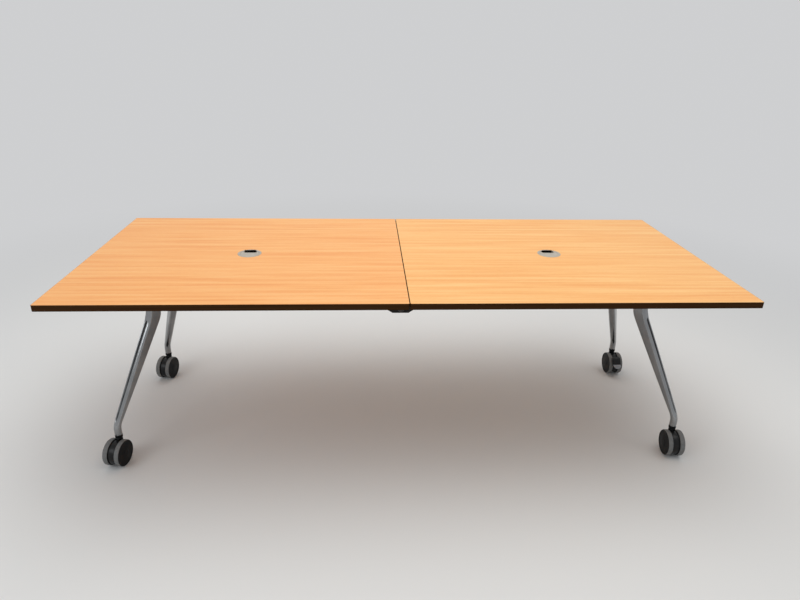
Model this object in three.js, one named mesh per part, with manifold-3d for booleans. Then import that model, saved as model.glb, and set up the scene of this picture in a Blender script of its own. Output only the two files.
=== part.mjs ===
// Flip top training table on castors. The worktop is two boards that meet at a cross seam. Each board turns on
// a shaft in its leg frame and on a shaft in a hub under the seam, and push rods below keep the leg frames
// upright, so the seam rises, the boards flip up back to back and the two leg frames roll together.
// Millimetres, +Z up, +X along the long side, origin on the floor under the middle of the table.

import * as THREE from 'three';
import { mergeVertices } from 'three/addons/utils/BufferGeometryUtils.js';
import Module from 'manifold-3d';

const wasm = await Module();
wasm.setup();

// Fits and roundness
const CLEARANCE = 0.3;
const SHAFT_SIDES = 16;
const ARC_STEPS = 4;
const MERGE_DISTANCE = 1e-4;
const CUT_OVERSHOOT = 1;

// Worktop
const TOP_LENGTH = 2400;
const TOP_DEPTH = 1000;
const TABLE_HEIGHT = 730;
const BOARD_THICKNESS = 22;
const SEAM_GAP = 2;
const EDGE_BAND_THICKNESS = 2;
const CORNER_RADIUS = 5;
const CORNER_STEPS = 2;

// Cable grommets
const GROMMET_INSET = 600;
const GROMMET_HOLE_RADIUS = 40;
const GROMMET_FLANGE_RADIUS = 46;
const GROMMET_FLANGE_THICKNESS = 3;
const GROMMET_WALL = 2.5;
const GROMMET_DEPTH = 20;
const GROMMET_SIDES = 24;
const CAP_THICKNESS = 3.5;
const CAP_PLAY = 0.6;
const CAP_LEDGE_WIDTH = 3;
const CAP_LEDGE_THICKNESS = 2;
const CABLE_SLOT_WIDTH = 50;
const CABLE_SLOT_DEPTH = 27;
const CABLE_SLOT_CORNER = 9;

// Pivots of the fold
const FRAME_PIVOT_INSET = 250;
const HUB_PIVOT_X = 60;
const PIVOT_DROP = 88;
const ROD_OFFSET = 34;
const ROD_DROP = 100;
const MAIN_SHAFT_RADIUS = 12.5;
const HUB_SHAFT_RADIUS = 10;
const ROD_PIN_RADIUS = 6;
const SHAFT_OVERHANG = 5;
const PIN_HEAD_RADIUS = 9.5;
const PIN_HEAD_THICKNESS = 4;

// Rails under the boards
const RAIL_WIDTH = 30;
const RAIL_HEIGHT = 40;
const RAIL_WALL = 3;
const RAIL_INNER_X = 12;
const RAIL_END_MARGIN = 60;
const EAR_THICKNESS = 10;
const EAR_TOP_WIDTH = 90;
const EAR_RADIUS = 24;

// Leg frames
const LEG_HEAD_Y = 149;
const LEG_HEAD_WIDTH = 60;
const LEG_HEAD_RADIUS = 26;
const LEG_HEAD_DEPTH = 44;
const LEG_HEAD_THICKNESS = 28;
const LEG_HEAD_RISE = 8;
const KNEE_DROP = 85;
const KNEE_BLEND = 30;
const KNEE_DEPTH = 54;
const KNEE_THICKNESS = 34;
const ANKLE_Z = 155;
const ANKLE_BLEND = 18;
const FOOT_Z = 118;
const FOOT_DIAMETER = 27;
const LEG_TAPER_POWER = 1.3;
const KNEE_CORNER = 9;
const GROOVE_KNEE_GAP = 13;
const GROOVE_ANKLE_GAP = 17;
const GROOVE_RUNOUT = 10;
const GROOVE_TOP_WIDTH = 14;
const GROOVE_BOTTOM_WIDTH = 9;
const GROOVE_DEPTH = 5;
const GROOVE_FLOOR_SHARE = 0.7;
const SHIN_RINGS = 2;
const BRIDGE_RADIUS = 20;
const CLEVIS_CHEEK = 8;
const CLEVIS_RADIUS = 16;

// Push rods
const ROD_RADIUS = 9;
const ROD_EYE_RADIUS = 14;
const ROD_EYE_WIDTH = 20;
const ROD_EYE_PLAY = 0.5;

// Hub and its lock
const HUB_PLATE_THICKNESS = 6;
const HUB_PLATE_GAP = 48;
const HUB_DROP = 138;
const HUB_BOTTOM_WIDTH = 66;
const HUB_SIDE_SLOPE = 0.65;
const HUB_HEAD_RADIUS = 26;
const SPACER_RADIUS = 12;
const SPACER_DROP = 30;
const LOCK_DROP = 112;
const LOCK_NOSE_RADIUS = 4.5;
const LOCK_PLATE_THICKNESS = 5;
const LOCK_PLATE_MARGIN = 7;
const LOCK_PLATE_OVERRUN = 15;
const KNOB_RADIUS = 13.5;
const KNOB_LENGTH = 16;
const KNOB_NECK_RADIUS = 8;
const KNOB_NECK_LENGTH = 8;
const KNOB_EDGE = 2.5;
const FOLD_ANGLE = 90;

// Castors
const CASTOR_END_INSET = 115;
const CASTOR_SIDE_INSET = 173;
const CASTOR_TRAIL = 24;
const TYRE_RADIUS = 52;
const TYRE_THICKNESS = 3.5;
const TYRE_SHOULDER = 2.5;
const WHEEL_WIDTH = 18;
const WHEEL_SIDES = 16;
const WHEEL_PLAY = 0.4;
const HUB_DISC_BULGE = 2.5;
const HUB_DISC_RIM = 6;
const HOOD_WIDTH = 27;
const HOOD_RADIUS = 46;
const HOOD_FLOOR_GAP = 16;
const HOOD_CHAMFER = 2;
const HOOD_STEPS = 9;
const NECK_RADIUS = 12.5;
const NECK_BASE_RADIUS = 13.5;
const NECK_BASE_Z = 62;
const COLLAR_Z = 105;
const COLLAR_RADIUS = 14;
const STEM_RADIUS = 5;
const STEM_GRIP = 32;
const SPIGOT_RADIUS = 6;
const SPIGOT_LENGTH = 33;
const STEM_SIDES = 12;
const AXLE_RADIUS = 4;
const AXLE_SEAT = 14;

// Brake pedal
const PEDAL_PIVOT_FORWARD = 30;
const PEDAL_PIVOT_RISE = 26;
const PEDAL_EYE_RADIUS = 5;
const PEDAL_TRUNNION_RADIUS = 2.5;
const PEDAL_TRUNNION_LENGTH = 2.5;
const PEDAL_SLOPE = 20;
const PEDAL_ARM = 27;
const PEDAL_LENGTH = 44;
const PEDAL_THICKNESS = 5;
const PEDAL_TREAD_WIDTH = 40;
const PEDAL_TREAD_CORNER = 4;
const PEDAL_SLOT_WIDTH = 18;
const PEDAL_SLOT_HEIGHT = 26;
const PEDAL_SLOT_DEPTH = 7;

// Heights and places that follow from the sizes above
const GROMMET_X = TOP_LENGTH / 2 - GROMMET_INSET;
const FRAME_PIVOT_X = TOP_LENGTH / 2 - FRAME_PIVOT_INSET;
const RAIL_OUTER_X = FRAME_PIVOT_X + RAIL_END_MARGIN;
const CASTOR_X = TOP_LENGTH / 2 - CASTOR_END_INSET;
const CASTOR_Y = TOP_DEPTH / 2 - CASTOR_SIDE_INSET;
const UNDERSIDE_Z = TABLE_HEIGHT - BOARD_THICKNESS;
const PIVOT_Z = UNDERSIDE_Z - PIVOT_DROP;
const KNEE_Z = PIVOT_Z - KNEE_DROP;
const GROOVE_TOP_Z = KNEE_Z - GROOVE_KNEE_GAP;
const GROOVE_BOTTOM_Z = ANKLE_Z + GROOVE_ANKLE_GAP;
const HUB_BOTTOM_Z = PIVOT_Z - HUB_DROP;
const ROD_Z = PIVOT_Z - ROD_DROP;
const LOCK_Z = PIVOT_Z - LOCK_DROP;
const EAR_INNER_Y = LEG_HEAD_Y + LEG_HEAD_WIDTH / 2 + CLEARANCE;
const RAIL_Y = EAR_INNER_Y + EAR_THICKNESS / 2;
const SHAFT_END_Y = EAR_INNER_Y + EAR_THICKNESS + SHAFT_OVERHANG;
const PLATE_INNER_Y = HUB_PLATE_GAP / 2;
const PLATE_OUTER_Y = PLATE_INNER_Y + HUB_PLATE_THICKNESS;
const AXLE_Z = TYRE_RADIUS * Math.cos(Math.PI / WHEEL_SIDES);

// Finishes
const beech = finish(0xf0bc82, 0.35, 0);
const edging = finish(0x73523c, 0.5, 0);
const paleGrey = finish(0xb9b5b0, 0.45, 0);
const blackSteel = finish(0x1c1c1e, 0.5, 0.4);
const brightSteel = finish(0xb4b6b8, 0.3, 1);
const castAluminium = finish(0xb9bdbf, 0.2, 1);
const blackPlastic = finish(0x141517, 0.4, 0);
const tyreGrey = finish(0x8d9092, 0.6, 0);

const X_AXIS = new THREE.Vector3(1, 0, 0);
const Y_AXIS = new THREE.Vector3(0, 1, 0);
const Z_AXIS = new THREE.Vector3(0, 0, 1);

const table = new THREE.Group();

function finish(color, roughness, metalness) {
  return new THREE.MeshStandardMaterial({ color, roughness, metalness });
}

function addPiece(name, geometry, material, parent = table) {
  const piece = new THREE.Mesh(closed(geometry), material);
  piece.name = name;
  parent.add(piece);
}

// Shares the vertices of neighbouring faces, drops faces that shrank to a line and turns the surface outwards.
function closed(geometry) {
  const bare = new THREE.BufferGeometry();
  bare.setAttribute('position', geometry.getAttribute('position'));
  bare.setIndex(geometry.getIndex());
  const merged = mergeVertices(bare, MERGE_DISTANCE);
  const corners = merged.getIndex().array;
  const places = merged.getAttribute('position');
  const kept = [];
  let volume = 0;
  const [a, b, c] = [new THREE.Vector3(), new THREE.Vector3(), new THREE.Vector3()];
  for (let i = 0; i < corners.length; i += 3) {
    const [p, q, r] = corners.slice(i, i + 3);
    if (p === q || q === r || r === p) continue;
    kept.push(p, q, r);
    a.fromBufferAttribute(places, p);
    b.fromBufferAttribute(places, q);
    c.fromBufferAttribute(places, r);
    volume += a.dot(b.cross(c));
  }
  merged.setIndex(volume < 0 ? kept.reverse() : kept);
  return merged;
}

function solid(geometry) {
  const shell = closed(geometry);
  return new wasm.Manifold(new wasm.Mesh({
    numProp: 3,
    vertProperties: shell.getAttribute('position').array,
    triVerts: new Uint32Array(shell.getIndex().array),
  }));
}

function surface(body) {
  const mesh = body.getMesh();
  const geometry = new THREE.BufferGeometry();
  geometry.setAttribute('position', new THREE.BufferAttribute(mesh.vertProperties, mesh.numProp));
  geometry.setIndex(new THREE.BufferAttribute(mesh.triVerts, 1));
  return geometry;
}

// Joins the first list of shapes and cuts the second list out of them.
function carve(joined, cut = []) {
  let body = solid(joined[0]);
  for (const shape of joined.slice(1)) body = body.add(solid(shape));
  for (const shape of cut) body = body.subtract(solid(shape));
  return surface(body);
}

function push(outline, depth, steps = ARC_STEPS) {
  return new THREE.ExtrudeGeometry(outline, { depth, bevelEnabled: false, curveSegments: steps });
}

// A flat outline drawn in X and Y, between two heights.
function slab(outline, zLow, zHigh, steps) {
  return push(outline, zHigh - zLow, steps).translate(0, 0, zLow);
}

// An outline drawn in X and Z, between two places along Y.
function plate(outline, yLow, yHigh, steps) {
  const upright = new THREE.Matrix4().makeBasis(X_AXIS, Z_AXIS, Y_AXIS.clone().negate());
  return push(outline, yHigh - yLow, steps).applyMatrix4(upright).translate(0, yHigh, 0);
}

// An outline drawn in Y and Z, between two places along X.
function beam(outline, xLow, xHigh) {
  const along = new THREE.Matrix4().makeBasis(Y_AXIS, Z_AXIS, X_AXIS);
  return push(outline, xHigh - xLow).applyMatrix4(along).translate(xLow, 0, 0);
}

// A hole right through what lies between yLow and yHigh.
function holeY(radius, yLow, yHigh, x, z) {
  return barY(radius, yLow - CUT_OVERSHOOT, yHigh + CUT_OVERSHOOT, x, z);
}

function barY(radius, yLow, yHigh, x, z, sides = SHAFT_SIDES) {
  return new THREE.CylinderGeometry(radius, radius, yHigh - yLow, sides).translate(x, (yLow + yHigh) / 2, z);
}

function barX(radius, xLow, xHigh, y, z, sides = SHAFT_SIDES) {
  const bar = new THREE.CylinderGeometry(radius, radius, xHigh - xLow, sides).rotateZ(Math.PI / 2);
  return bar.translate((xLow + xHigh) / 2, y, z);
}

function barZ(radius, zLow, zHigh, x, y, sides = SHAFT_SIDES) {
  const bar = new THREE.CylinderGeometry(radius, radius, zHigh - zLow, sides).rotateX(Math.PI / 2);
  return bar.translate(x, y, (zLow + zHigh) / 2);
}

// A profile of [radius, place] turned about the Y axis, or stood up to turn about Z.
function turnedY(profile, sides, firstAngle = 0) {
  const points = profile.map(([radius, place]) => new THREE.Vector2(radius, place));
  return new THREE.LatheGeometry(points, sides, firstAngle);
}

function turnedZ(profile, sides) {
  return turnedY(profile, sides).rotateX(Math.PI / 2);
}

function box(low, high) {
  const size = high.map((value, axis) => value - low[axis]);
  const middle = high.map((value, axis) => (value + low[axis]) / 2);
  return new THREE.BoxGeometry(...size).translate(...middle);
}

function roundedRectangle(path, xLow, xHigh, yLow, yHigh, radius) {
  path.moveTo(xLow + radius, yLow);
  path.absarc(xHigh - radius, yLow + radius, radius, -Math.PI / 2, 0);
  path.absarc(xHigh - radius, yHigh - radius, radius, 0, Math.PI / 2);
  path.absarc(xLow + radius, yHigh - radius, radius, Math.PI / 2, Math.PI);
  path.absarc(xLow + radius, yLow + radius, radius, Math.PI, Math.PI * 1.5);
  path.closePath();
  return path;
}

function mix(from, to, share) {
  return from + (to - from) * share;
}

// Worktop: board, edge band, grommet liner and grommet cap of one half. side is -1 on the left, 1 on the right.
function boardOutline(path, side, inset) {
  const ends = [side * (SEAM_GAP / 2 + inset), side * (TOP_LENGTH / 2 - inset)];
  const halfDepth = TOP_DEPTH / 2 - inset;
  const [xLow, xHigh] = [Math.min(...ends), Math.max(...ends)];
  return roundedRectangle(path, xLow, xHigh, -halfDepth, halfDepth, CORNER_RADIUS - inset);
}

function board(side) {
  const core = boardOutline(new THREE.Shape(), side, EDGE_BAND_THICKNESS);
  const rebateZ = TABLE_HEIGHT - GROMMET_FLANGE_THICKNESS;
  const aboveTop = TABLE_HEIGHT + CUT_OVERSHOOT;
  const x = side * GROMMET_X;
  return carve([slab(core, UNDERSIDE_Z, TABLE_HEIGHT, CORNER_STEPS)], [
    barZ(GROMMET_HOLE_RADIUS, UNDERSIDE_Z - CUT_OVERSHOOT, aboveTop, x, 0, GROMMET_SIDES),
    barZ(GROMMET_FLANGE_RADIUS, rebateZ, aboveTop, x, 0, GROMMET_SIDES),
  ]);
}

function edgeBand(side) {
  const outline = boardOutline(new THREE.Shape(), side, 0);
  outline.holes.push(boardOutline(new THREE.Path(), side, EDGE_BAND_THICKNESS));
  return slab(outline, UNDERSIDE_Z, TABLE_HEIGHT, CORNER_STEPS);
}

const SLEEVE_RADIUS = GROMMET_HOLE_RADIUS - CLEARANCE;
const SLEEVE_BORE = SLEEVE_RADIUS - GROMMET_WALL;
const CAP_RADIUS = SLEEVE_BORE - CAP_PLAY;

function grommetLiner(side) {
  const flangeRadius = GROMMET_FLANGE_RADIUS - CLEARANCE;
  const ledgeTop = -CAP_THICKNESS - CLEARANCE;
  const ledgeBottom = ledgeTop - CAP_LEDGE_THICKNESS;
  const profile = [
    [SLEEVE_BORE, 0],
    [flangeRadius, 0],
    [flangeRadius, -GROMMET_FLANGE_THICKNESS],
    [SLEEVE_RADIUS, -GROMMET_FLANGE_THICKNESS],
    [SLEEVE_RADIUS, -GROMMET_DEPTH],
    [SLEEVE_BORE, -GROMMET_DEPTH],
    [SLEEVE_BORE, ledgeBottom],
    [SLEEVE_BORE - CAP_LEDGE_WIDTH, ledgeBottom],
    [SLEEVE_BORE - CAP_LEDGE_WIDTH, ledgeTop],
    [SLEEVE_BORE, ledgeTop],
    [SLEEVE_BORE, 0],
  ];
  return turnedZ(profile, GROMMET_SIDES).translate(side * GROMMET_X, 0, TABLE_HEIGHT);
}

function grommetCap(side) {
  const disc = barZ(CAP_RADIUS, -CAP_THICKNESS, 0, 0, 0, GROMMET_SIDES);
  const slotFront = CAP_RADIUS - CABLE_SLOT_DEPTH;
  const slotBack = CAP_RADIUS + CABLE_SLOT_CORNER * 2;
  const halfWidth = CABLE_SLOT_WIDTH / 2;
  const slot = roundedRectangle(
    new THREE.Shape(), -halfWidth, halfWidth, slotFront, slotBack, CABLE_SLOT_CORNER);
  const cap = carve([disc], [slab(slot, -CAP_THICKNESS - CUT_OVERSHOOT, CUT_OVERSHOOT)]);
  return cap.translate(side * GROMMET_X, 0, TABLE_HEIGHT);
}

// Rails: a channel open downwards, with an ear at each end that hangs down to a pivot.
function earOutline(x) {
  const top = UNDERSIDE_Z - RAIL_WALL / 2;
  const ear = new THREE.Shape();
  ear.moveTo(x - EAR_TOP_WIDTH / 2, top);
  ear.lineTo(x - EAR_RADIUS, PIVOT_Z);
  ear.absarc(x, PIVOT_Z, EAR_RADIUS, Math.PI, Math.PI * 2);
  ear.lineTo(x + EAR_TOP_WIDTH / 2, top);
  ear.closePath();
  return ear;
}

function channelOutline(y) {
  const half = RAIL_WIDTH / 2;
  const web = UNDERSIDE_Z - RAIL_WALL;
  const lip = UNDERSIDE_Z - RAIL_HEIGHT;
  const outline = [
    [y - half, lip], [y - half + RAIL_WALL, lip], [y - half + RAIL_WALL, web], [y + half - RAIL_WALL, web],
    [y + half - RAIL_WALL, lip], [y + half, lip], [y + half, UNDERSIDE_Z], [y - half, UNDERSIDE_Z],
  ];
  return new THREE.Shape(outline.map(([across, height]) => new THREE.Vector2(across, height)));
}

function rail(side, depthSide) {
  const y = depthSide * RAIL_Y;
  const ends = [side * RAIL_INNER_X, side * RAIL_OUTER_X].sort((a, b) => a - b);
  const earLow = y - EAR_THICKNESS / 2;
  const earHigh = y + EAR_THICKNESS / 2;
  const pivots = [[side * FRAME_PIVOT_X, MAIN_SHAFT_RADIUS], [side * HUB_PIVOT_X, HUB_SHAFT_RADIUS]];
  const ears = pivots.map(([x]) => plate(earOutline(x), earLow, earHigh));
  const bores = pivots.map(([x, radius]) => holeY(radius + CLEARANCE, earLow, earHigh, x, PIVOT_Z));
  return carve([beam(channelOutline(y), ...ends), ...ears], bores);
}

// Legs: cast blades that leave the head straight down, splay outwards below a knee, and end in a round foot.
// A channel with raised lips runs down the outer edge. Sections are level, and worked out for each height.
const SPLAY = Math.hypot(CASTOR_X - FRAME_PIVOT_X, CASTOR_Y - LEG_HEAD_Y);
const SPLAY_X = (CASTOR_X - FRAME_PIVOT_X) / SPLAY;
const SPLAY_Y = (CASTOR_Y - LEG_HEAD_Y) / SPLAY;

// Zero above a bend, one for one below it, with a parabola through the bend.
function softRamp(below, blend) {
  if (below <= -blend) return 0;
  if (below >= blend) return below;
  return (below + blend) ** 2 / (4 * blend);
}

function legReach(z) {
  const run = softRamp(KNEE_Z - z, KNEE_BLEND) - softRamp(ANKLE_Z - z, ANKLE_BLEND);
  return SPLAY * run / (KNEE_Z - ANKLE_Z);
}

function legSize(z) {
  if (z >= KNEE_Z) {
    const rise = Math.min((z - KNEE_Z) / (PIVOT_Z - KNEE_Z), 1);
    const thickness = mix(KNEE_THICKNESS, LEG_HEAD_THICKNESS, rise);
    return [mix(KNEE_DEPTH, LEG_HEAD_DEPTH, rise), thickness, KNEE_CORNER];
  }
  const share = Math.min((KNEE_Z - z) / (KNEE_Z - ANKLE_Z), 1);
  const taper = share ** LEG_TAPER_POWER;
  const corner = mix(KNEE_CORNER, FOOT_DIAMETER / 2 - CLEARANCE, taper);
  return [mix(KNEE_DEPTH, FOOT_DIAMETER, taper), mix(KNEE_THICKNESS, FOOT_DIAMETER, share), corner];
}

function grooveAt(z) {
  const share = (GROOVE_TOP_Z - z) / (GROOVE_TOP_Z - GROOVE_BOTTOM_Z);
  const inside = Math.min(GROOVE_TOP_Z - z, z - GROOVE_BOTTOM_Z) / GROOVE_RUNOUT;
  const width = mix(GROOVE_TOP_WIDTH, GROOVE_BOTTOM_WIDTH, Math.min(Math.max(share, 0), 1));
  return [width / 2, GROOVE_DEPTH * Math.min(Math.max(inside, 0), 1)];
}

// One level section as [outwards, across] pairs: rounded corners, and the groove in the outer edge.
function legSection(z) {
  const [depth, thickness, corner] = legSize(z);
  const [grooveHalf, grooveDepth] = grooveAt(z);
  const flatOut = depth / 2 - corner;
  const flatAcross = thickness / 2 - corner;
  const cornerAt = (angle) => [flatOut + corner * Math.sin(angle), flatAcross + corner * Math.cos(angle)];
  const outerCorner = [0, Math.PI / 6, Math.PI / 3].map(cornerAt);
  const innerCorner = [0, Math.PI / 6, Math.PI / 3, Math.PI / 2].map(cornerAt);
  const overCorner = Math.max(grooveHalf - flatAcross, 0);
  const lip = flatOut + Math.sqrt(corner ** 2 - overCorner ** 2);
  const floorHalf = grooveHalf * GROOVE_FLOOR_SHARE;
  const outer = [...outerCorner, [lip, grooveHalf], [lip - grooveDepth, floorHalf]];
  const mirrored = outer.map(([out, across]) => [out, -across]).reverse();
  const innerFar = innerCorner.map(([out, across]) => [-out, -across]);
  const innerNear = innerCorner.map(([out, across]) => [-out, across]).reverse();
  return [...outer, [lip - grooveDepth, 0], ...mirrored, ...innerFar, ...innerNear];
}

function legHeights() {
  const head = [PIVOT_Z + LEG_HEAD_RISE, PIVOT_Z - LEG_HEAD_RADIUS, KNEE_Z + KNEE_BLEND, KNEE_Z];
  const grooveStart = [GROOVE_TOP_Z, GROOVE_TOP_Z - GROOVE_RUNOUT];
  const grooveEnd = [GROOVE_BOTTOM_Z + GROOVE_RUNOUT, GROOVE_BOTTOM_Z];
  const shin = [];
  for (let ring = 0; ring <= SHIN_RINGS; ring += 1) {
    shin.push(mix(KNEE_Z - KNEE_BLEND, GROOVE_BOTTOM_Z + 2 * GROOVE_RUNOUT, ring / SHIN_RINGS));
  }
  return [...head, ...grooveStart, ...shin, ...grooveEnd, ANKLE_Z, ANKLE_Z - ANKLE_BLEND, FOOT_Z];
}

function loft(rings) {
  const count = rings[0].length;
  const middles = [rings[0], rings[rings.length - 1]].map((ring) => {
    const middle = new THREE.Vector3();
    for (const point of ring) middle.addScaledVector(point, 1 / count);
    return middle;
  });
  const points = [...rings.flat(), ...middles];
  const faces = [];
  for (let ring = 0; ring + 1 < rings.length; ring += 1) {
    for (let step = 0; step < count; step += 1) {
      const [a, b] = [ring * count + step, ring * count + (step + 1) % count];
      faces.push(a, b, a + count, b, b + count, a + count);
    }
  }
  const last = (rings.length - 1) * count;
  for (let step = 0; step < count; step += 1) {
    const next = (step + 1) % count;
    faces.push(next, step, points.length - 2, last + step, last + next, points.length - 1);
  }
  return new THREE.BufferGeometry().setFromPoints(points).setIndex(faces);
}

function leg(side, depthSide) {
  const rings = legHeights().map((z) => {
    const reach = legReach(z);
    return legSection(z).map(([out, across]) => new THREE.Vector3(
      side * (FRAME_PIVOT_X + (reach + out) * SPLAY_X - across * SPLAY_Y),
      depthSide * (LEG_HEAD_Y + (reach + out) * SPLAY_Y + across * SPLAY_X),
      z,
    ));
  });
  const x = side * FRAME_PIVOT_X;
  const y = depthSide * LEG_HEAD_Y;
  const half = LEG_HEAD_WIDTH / 2;
  const foot = [side * CASTOR_X, depthSide * CASTOR_Y];
  const socketTop = FOOT_Z + STEM_GRIP + CLEARANCE;
  return carve([loft(rings), barY(LEG_HEAD_RADIUS, y - half, y + half, x, PIVOT_Z)], [
    holeY(MAIN_SHAFT_RADIUS + CLEARANCE, y - half, y + half, x, PIVOT_Z),
    barZ(STEM_RADIUS + CLEARANCE, FOOT_Z - CUT_OVERSHOOT, socketTop, ...foot, STEM_SIDES),
  ]);
}

// Bridge: the tube between the two leg heads, with a clevis that hangs down to the push rod.
const CLEVIS_INNER_Y = ROD_EYE_WIDTH / 2 + ROD_EYE_PLAY;
const CLEVIS_OUTER_Y = CLEVIS_INNER_Y + CLEVIS_CHEEK;

// Two circles and the lines that touch both.
function taperedLink(from, fromRadius, to, toRadius) {
  const length = Math.hypot(to[0] - from[0], to[1] - from[1]);
  const heading = Math.atan2(to[1] - from[1], to[0] - from[0]);
  const lean = Math.acos((fromRadius - toRadius) / length);
  const link = new THREE.Shape();
  link.absarc(from[0], from[1], fromRadius, heading + lean, heading - lean + Math.PI * 2);
  link.absarc(to[0], to[1], toRadius, heading - lean, heading + lean);
  link.closePath();
  return link;
}

function bridge(side) {
  const pivot = [side * FRAME_PIVOT_X, PIVOT_Z];
  const rodEnd = [side * (FRAME_PIVOT_X - ROD_OFFSET), ROD_Z];
  const halfLength = LEG_HEAD_Y - LEG_HEAD_WIDTH / 2 - CLEARANCE;
  const cheek = taperedLink(pivot, BRIDGE_RADIUS, rodEnd, CLEVIS_RADIUS);
  return carve([
    barY(BRIDGE_RADIUS, -halfLength, halfLength, ...pivot),
    plate(cheek, -CLEVIS_OUTER_Y, -CLEVIS_INNER_Y),
    plate(cheek, CLEVIS_INNER_Y, CLEVIS_OUTER_Y),
  ], [
    holeY(MAIN_SHAFT_RADIUS + CLEARANCE, -halfLength, halfLength, ...pivot),
    holeY(ROD_PIN_RADIUS + CLEARANCE, -CLEVIS_OUTER_Y, CLEVIS_OUTER_Y, ...rodEnd),
  ]);
}

function headedPin(x, z, seatY) {
  const head = seatY + CLEARANCE;
  const profile = [
    [0, -head - PIN_HEAD_THICKNESS],
    [ROD_PIN_RADIUS, -head - PIN_HEAD_THICKNESS],
    [ROD_PIN_RADIUS, head],
    [PIN_HEAD_RADIUS, head],
    [PIN_HEAD_RADIUS, head + PIN_HEAD_THICKNESS],
    [0, head + PIN_HEAD_THICKNESS],
  ];
  return turnedY(profile, SHAFT_SIDES).translate(x, 0, z);
}

// Push rods: a bar with an eye at each end. The left one carries the lock plate at its hub end, a sector that
// stays under the plunger's nose through the fold and brings its hole there when the table stands folded.
function lockPlate(hubEnd) {
  const [reachX, reachZ] = [-hubEnd[0], LOCK_Z - hubEnd[1]];
  const reach = Math.hypot(reachX, reachZ);
  const nose = Math.atan2(reachZ, reachX);
  const overrun = THREE.MathUtils.degToRad(LOCK_PLATE_OVERRUN);
  const fold = THREE.MathUtils.degToRad(FOLD_ANGLE);
  const rim = reach + LOCK_PLATE_MARGIN;
  const start = nose - fold - overrun;
  const sector = new THREE.Shape();
  sector.moveTo(...hubEnd);
  sector.lineTo(hubEnd[0] + rim * Math.cos(start), hubEnd[1] + rim * Math.sin(start));
  sector.absarc(...hubEnd, rim, start, nose + overrun);
  sector.closePath();
  const holeX = hubEnd[0] + reach * Math.cos(nose - fold);
  const holeZ = hubEnd[1] + reach * Math.sin(nose - fold);
  const yHigh = -ROD_EYE_WIDTH / 2;
  const yLow = yHigh - LOCK_PLATE_THICKNESS;
  const hole = holeY(LOCK_NOSE_RADIUS + CLEARANCE, yLow, yHigh, holeX, holeZ);
  return { sector: plate(sector, yLow, yHigh + CUT_OVERSHOOT, ARC_STEPS * 2), hole };
}

function pushRod(side) {
  const frameEnd = [side * (FRAME_PIVOT_X - ROD_OFFSET), ROD_Z];
  const hubEnd = [side * (HUB_PIVOT_X - ROD_OFFSET), ROD_Z];
  const half = ROD_EYE_WIDTH / 2;
  const ends = [frameEnd[0], hubEnd[0]].sort((a, b) => a - b);
  const joined = [
    barX(ROD_RADIUS, ...ends, 0, ROD_Z),
    barY(ROD_EYE_RADIUS, -half, half, ...frameEnd),
    barY(ROD_EYE_RADIUS, -half, half, ...hubEnd),
  ];
  const deep = half + LOCK_PLATE_THICKNESS;
  const cut = [frameEnd, hubEnd].map((end) => holeY(ROD_PIN_RADIUS + CLEARANCE, -deep, deep, ...end));
  if (side < 0) {
    const { sector, hole } = lockPlate(hubEnd);
    joined.push(sector);
    cut.push(hole);
  }
  return carve(joined, cut);
}

// Hub: two plates, a spacer, the boards' inner shafts, the rods' pins and the lock plunger.
function hubPlate(depthSide) {
  const halfBottom = HUB_BOTTOM_WIDTH / 2;
  const halfTop = HUB_PIVOT_X + HUB_HEAD_RADIUS;
  const shoulderZ = HUB_BOTTOM_Z + (halfTop - halfBottom) * HUB_SIDE_SLOPE;
  const outline = new THREE.Shape();
  outline.moveTo(-halfBottom, HUB_BOTTOM_Z);
  outline.lineTo(halfBottom, HUB_BOTTOM_Z);
  outline.lineTo(halfTop, shoulderZ);
  outline.absarc(HUB_PIVOT_X, PIVOT_Z, HUB_HEAD_RADIUS, 0, Math.PI / 2);
  outline.absarc(-HUB_PIVOT_X, PIVOT_Z, HUB_HEAD_RADIUS, Math.PI / 2, Math.PI);
  outline.lineTo(-halfTop, shoulderZ);
  outline.closePath();
  const [yLow, yHigh] = [depthSide * PLATE_INNER_Y, depthSide * PLATE_OUTER_Y].sort((a, b) => a - b);
  const rodX = HUB_PIVOT_X - ROD_OFFSET;
  const bores = [-1, 1].flatMap((side) => [
    holeY(HUB_SHAFT_RADIUS + CLEARANCE, yLow, yHigh, side * HUB_PIVOT_X, PIVOT_Z),
    holeY(ROD_PIN_RADIUS + CLEARANCE, yLow, yHigh, side * rodX, ROD_Z),
  ]);
  if (depthSide < 0) bores.push(holeY(LOCK_NOSE_RADIUS + CLEARANCE, yLow, yHigh, 0, LOCK_Z));
  return carve([plate(outline, yLow, yHigh)], bores);
}

function lockPlunger() {
  const nose = -ROD_EYE_WIDTH / 2 - LOCK_PLATE_THICKNESS - CLEARANCE;
  const seat = -PLATE_OUTER_Y - CLEARANCE;
  const neckEnd = seat - KNOB_NECK_LENGTH;
  const front = neckEnd - KNOB_LENGTH;
  const profile = [
    [0, nose],
    [LOCK_NOSE_RADIUS, nose],
    [LOCK_NOSE_RADIUS, seat],
    [KNOB_NECK_RADIUS, seat],
    [KNOB_NECK_RADIUS, neckEnd],
    [KNOB_RADIUS - KNOB_EDGE, neckEnd],
    [KNOB_RADIUS, neckEnd - KNOB_EDGE],
    [KNOB_RADIUS, front + KNOB_EDGE],
    [KNOB_RADIUS - KNOB_EDGE, front],
    [0, front],
  ];
  return turnedY(profile, SHAFT_SIDES).translate(0, 0, LOCK_Z);
}

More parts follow.
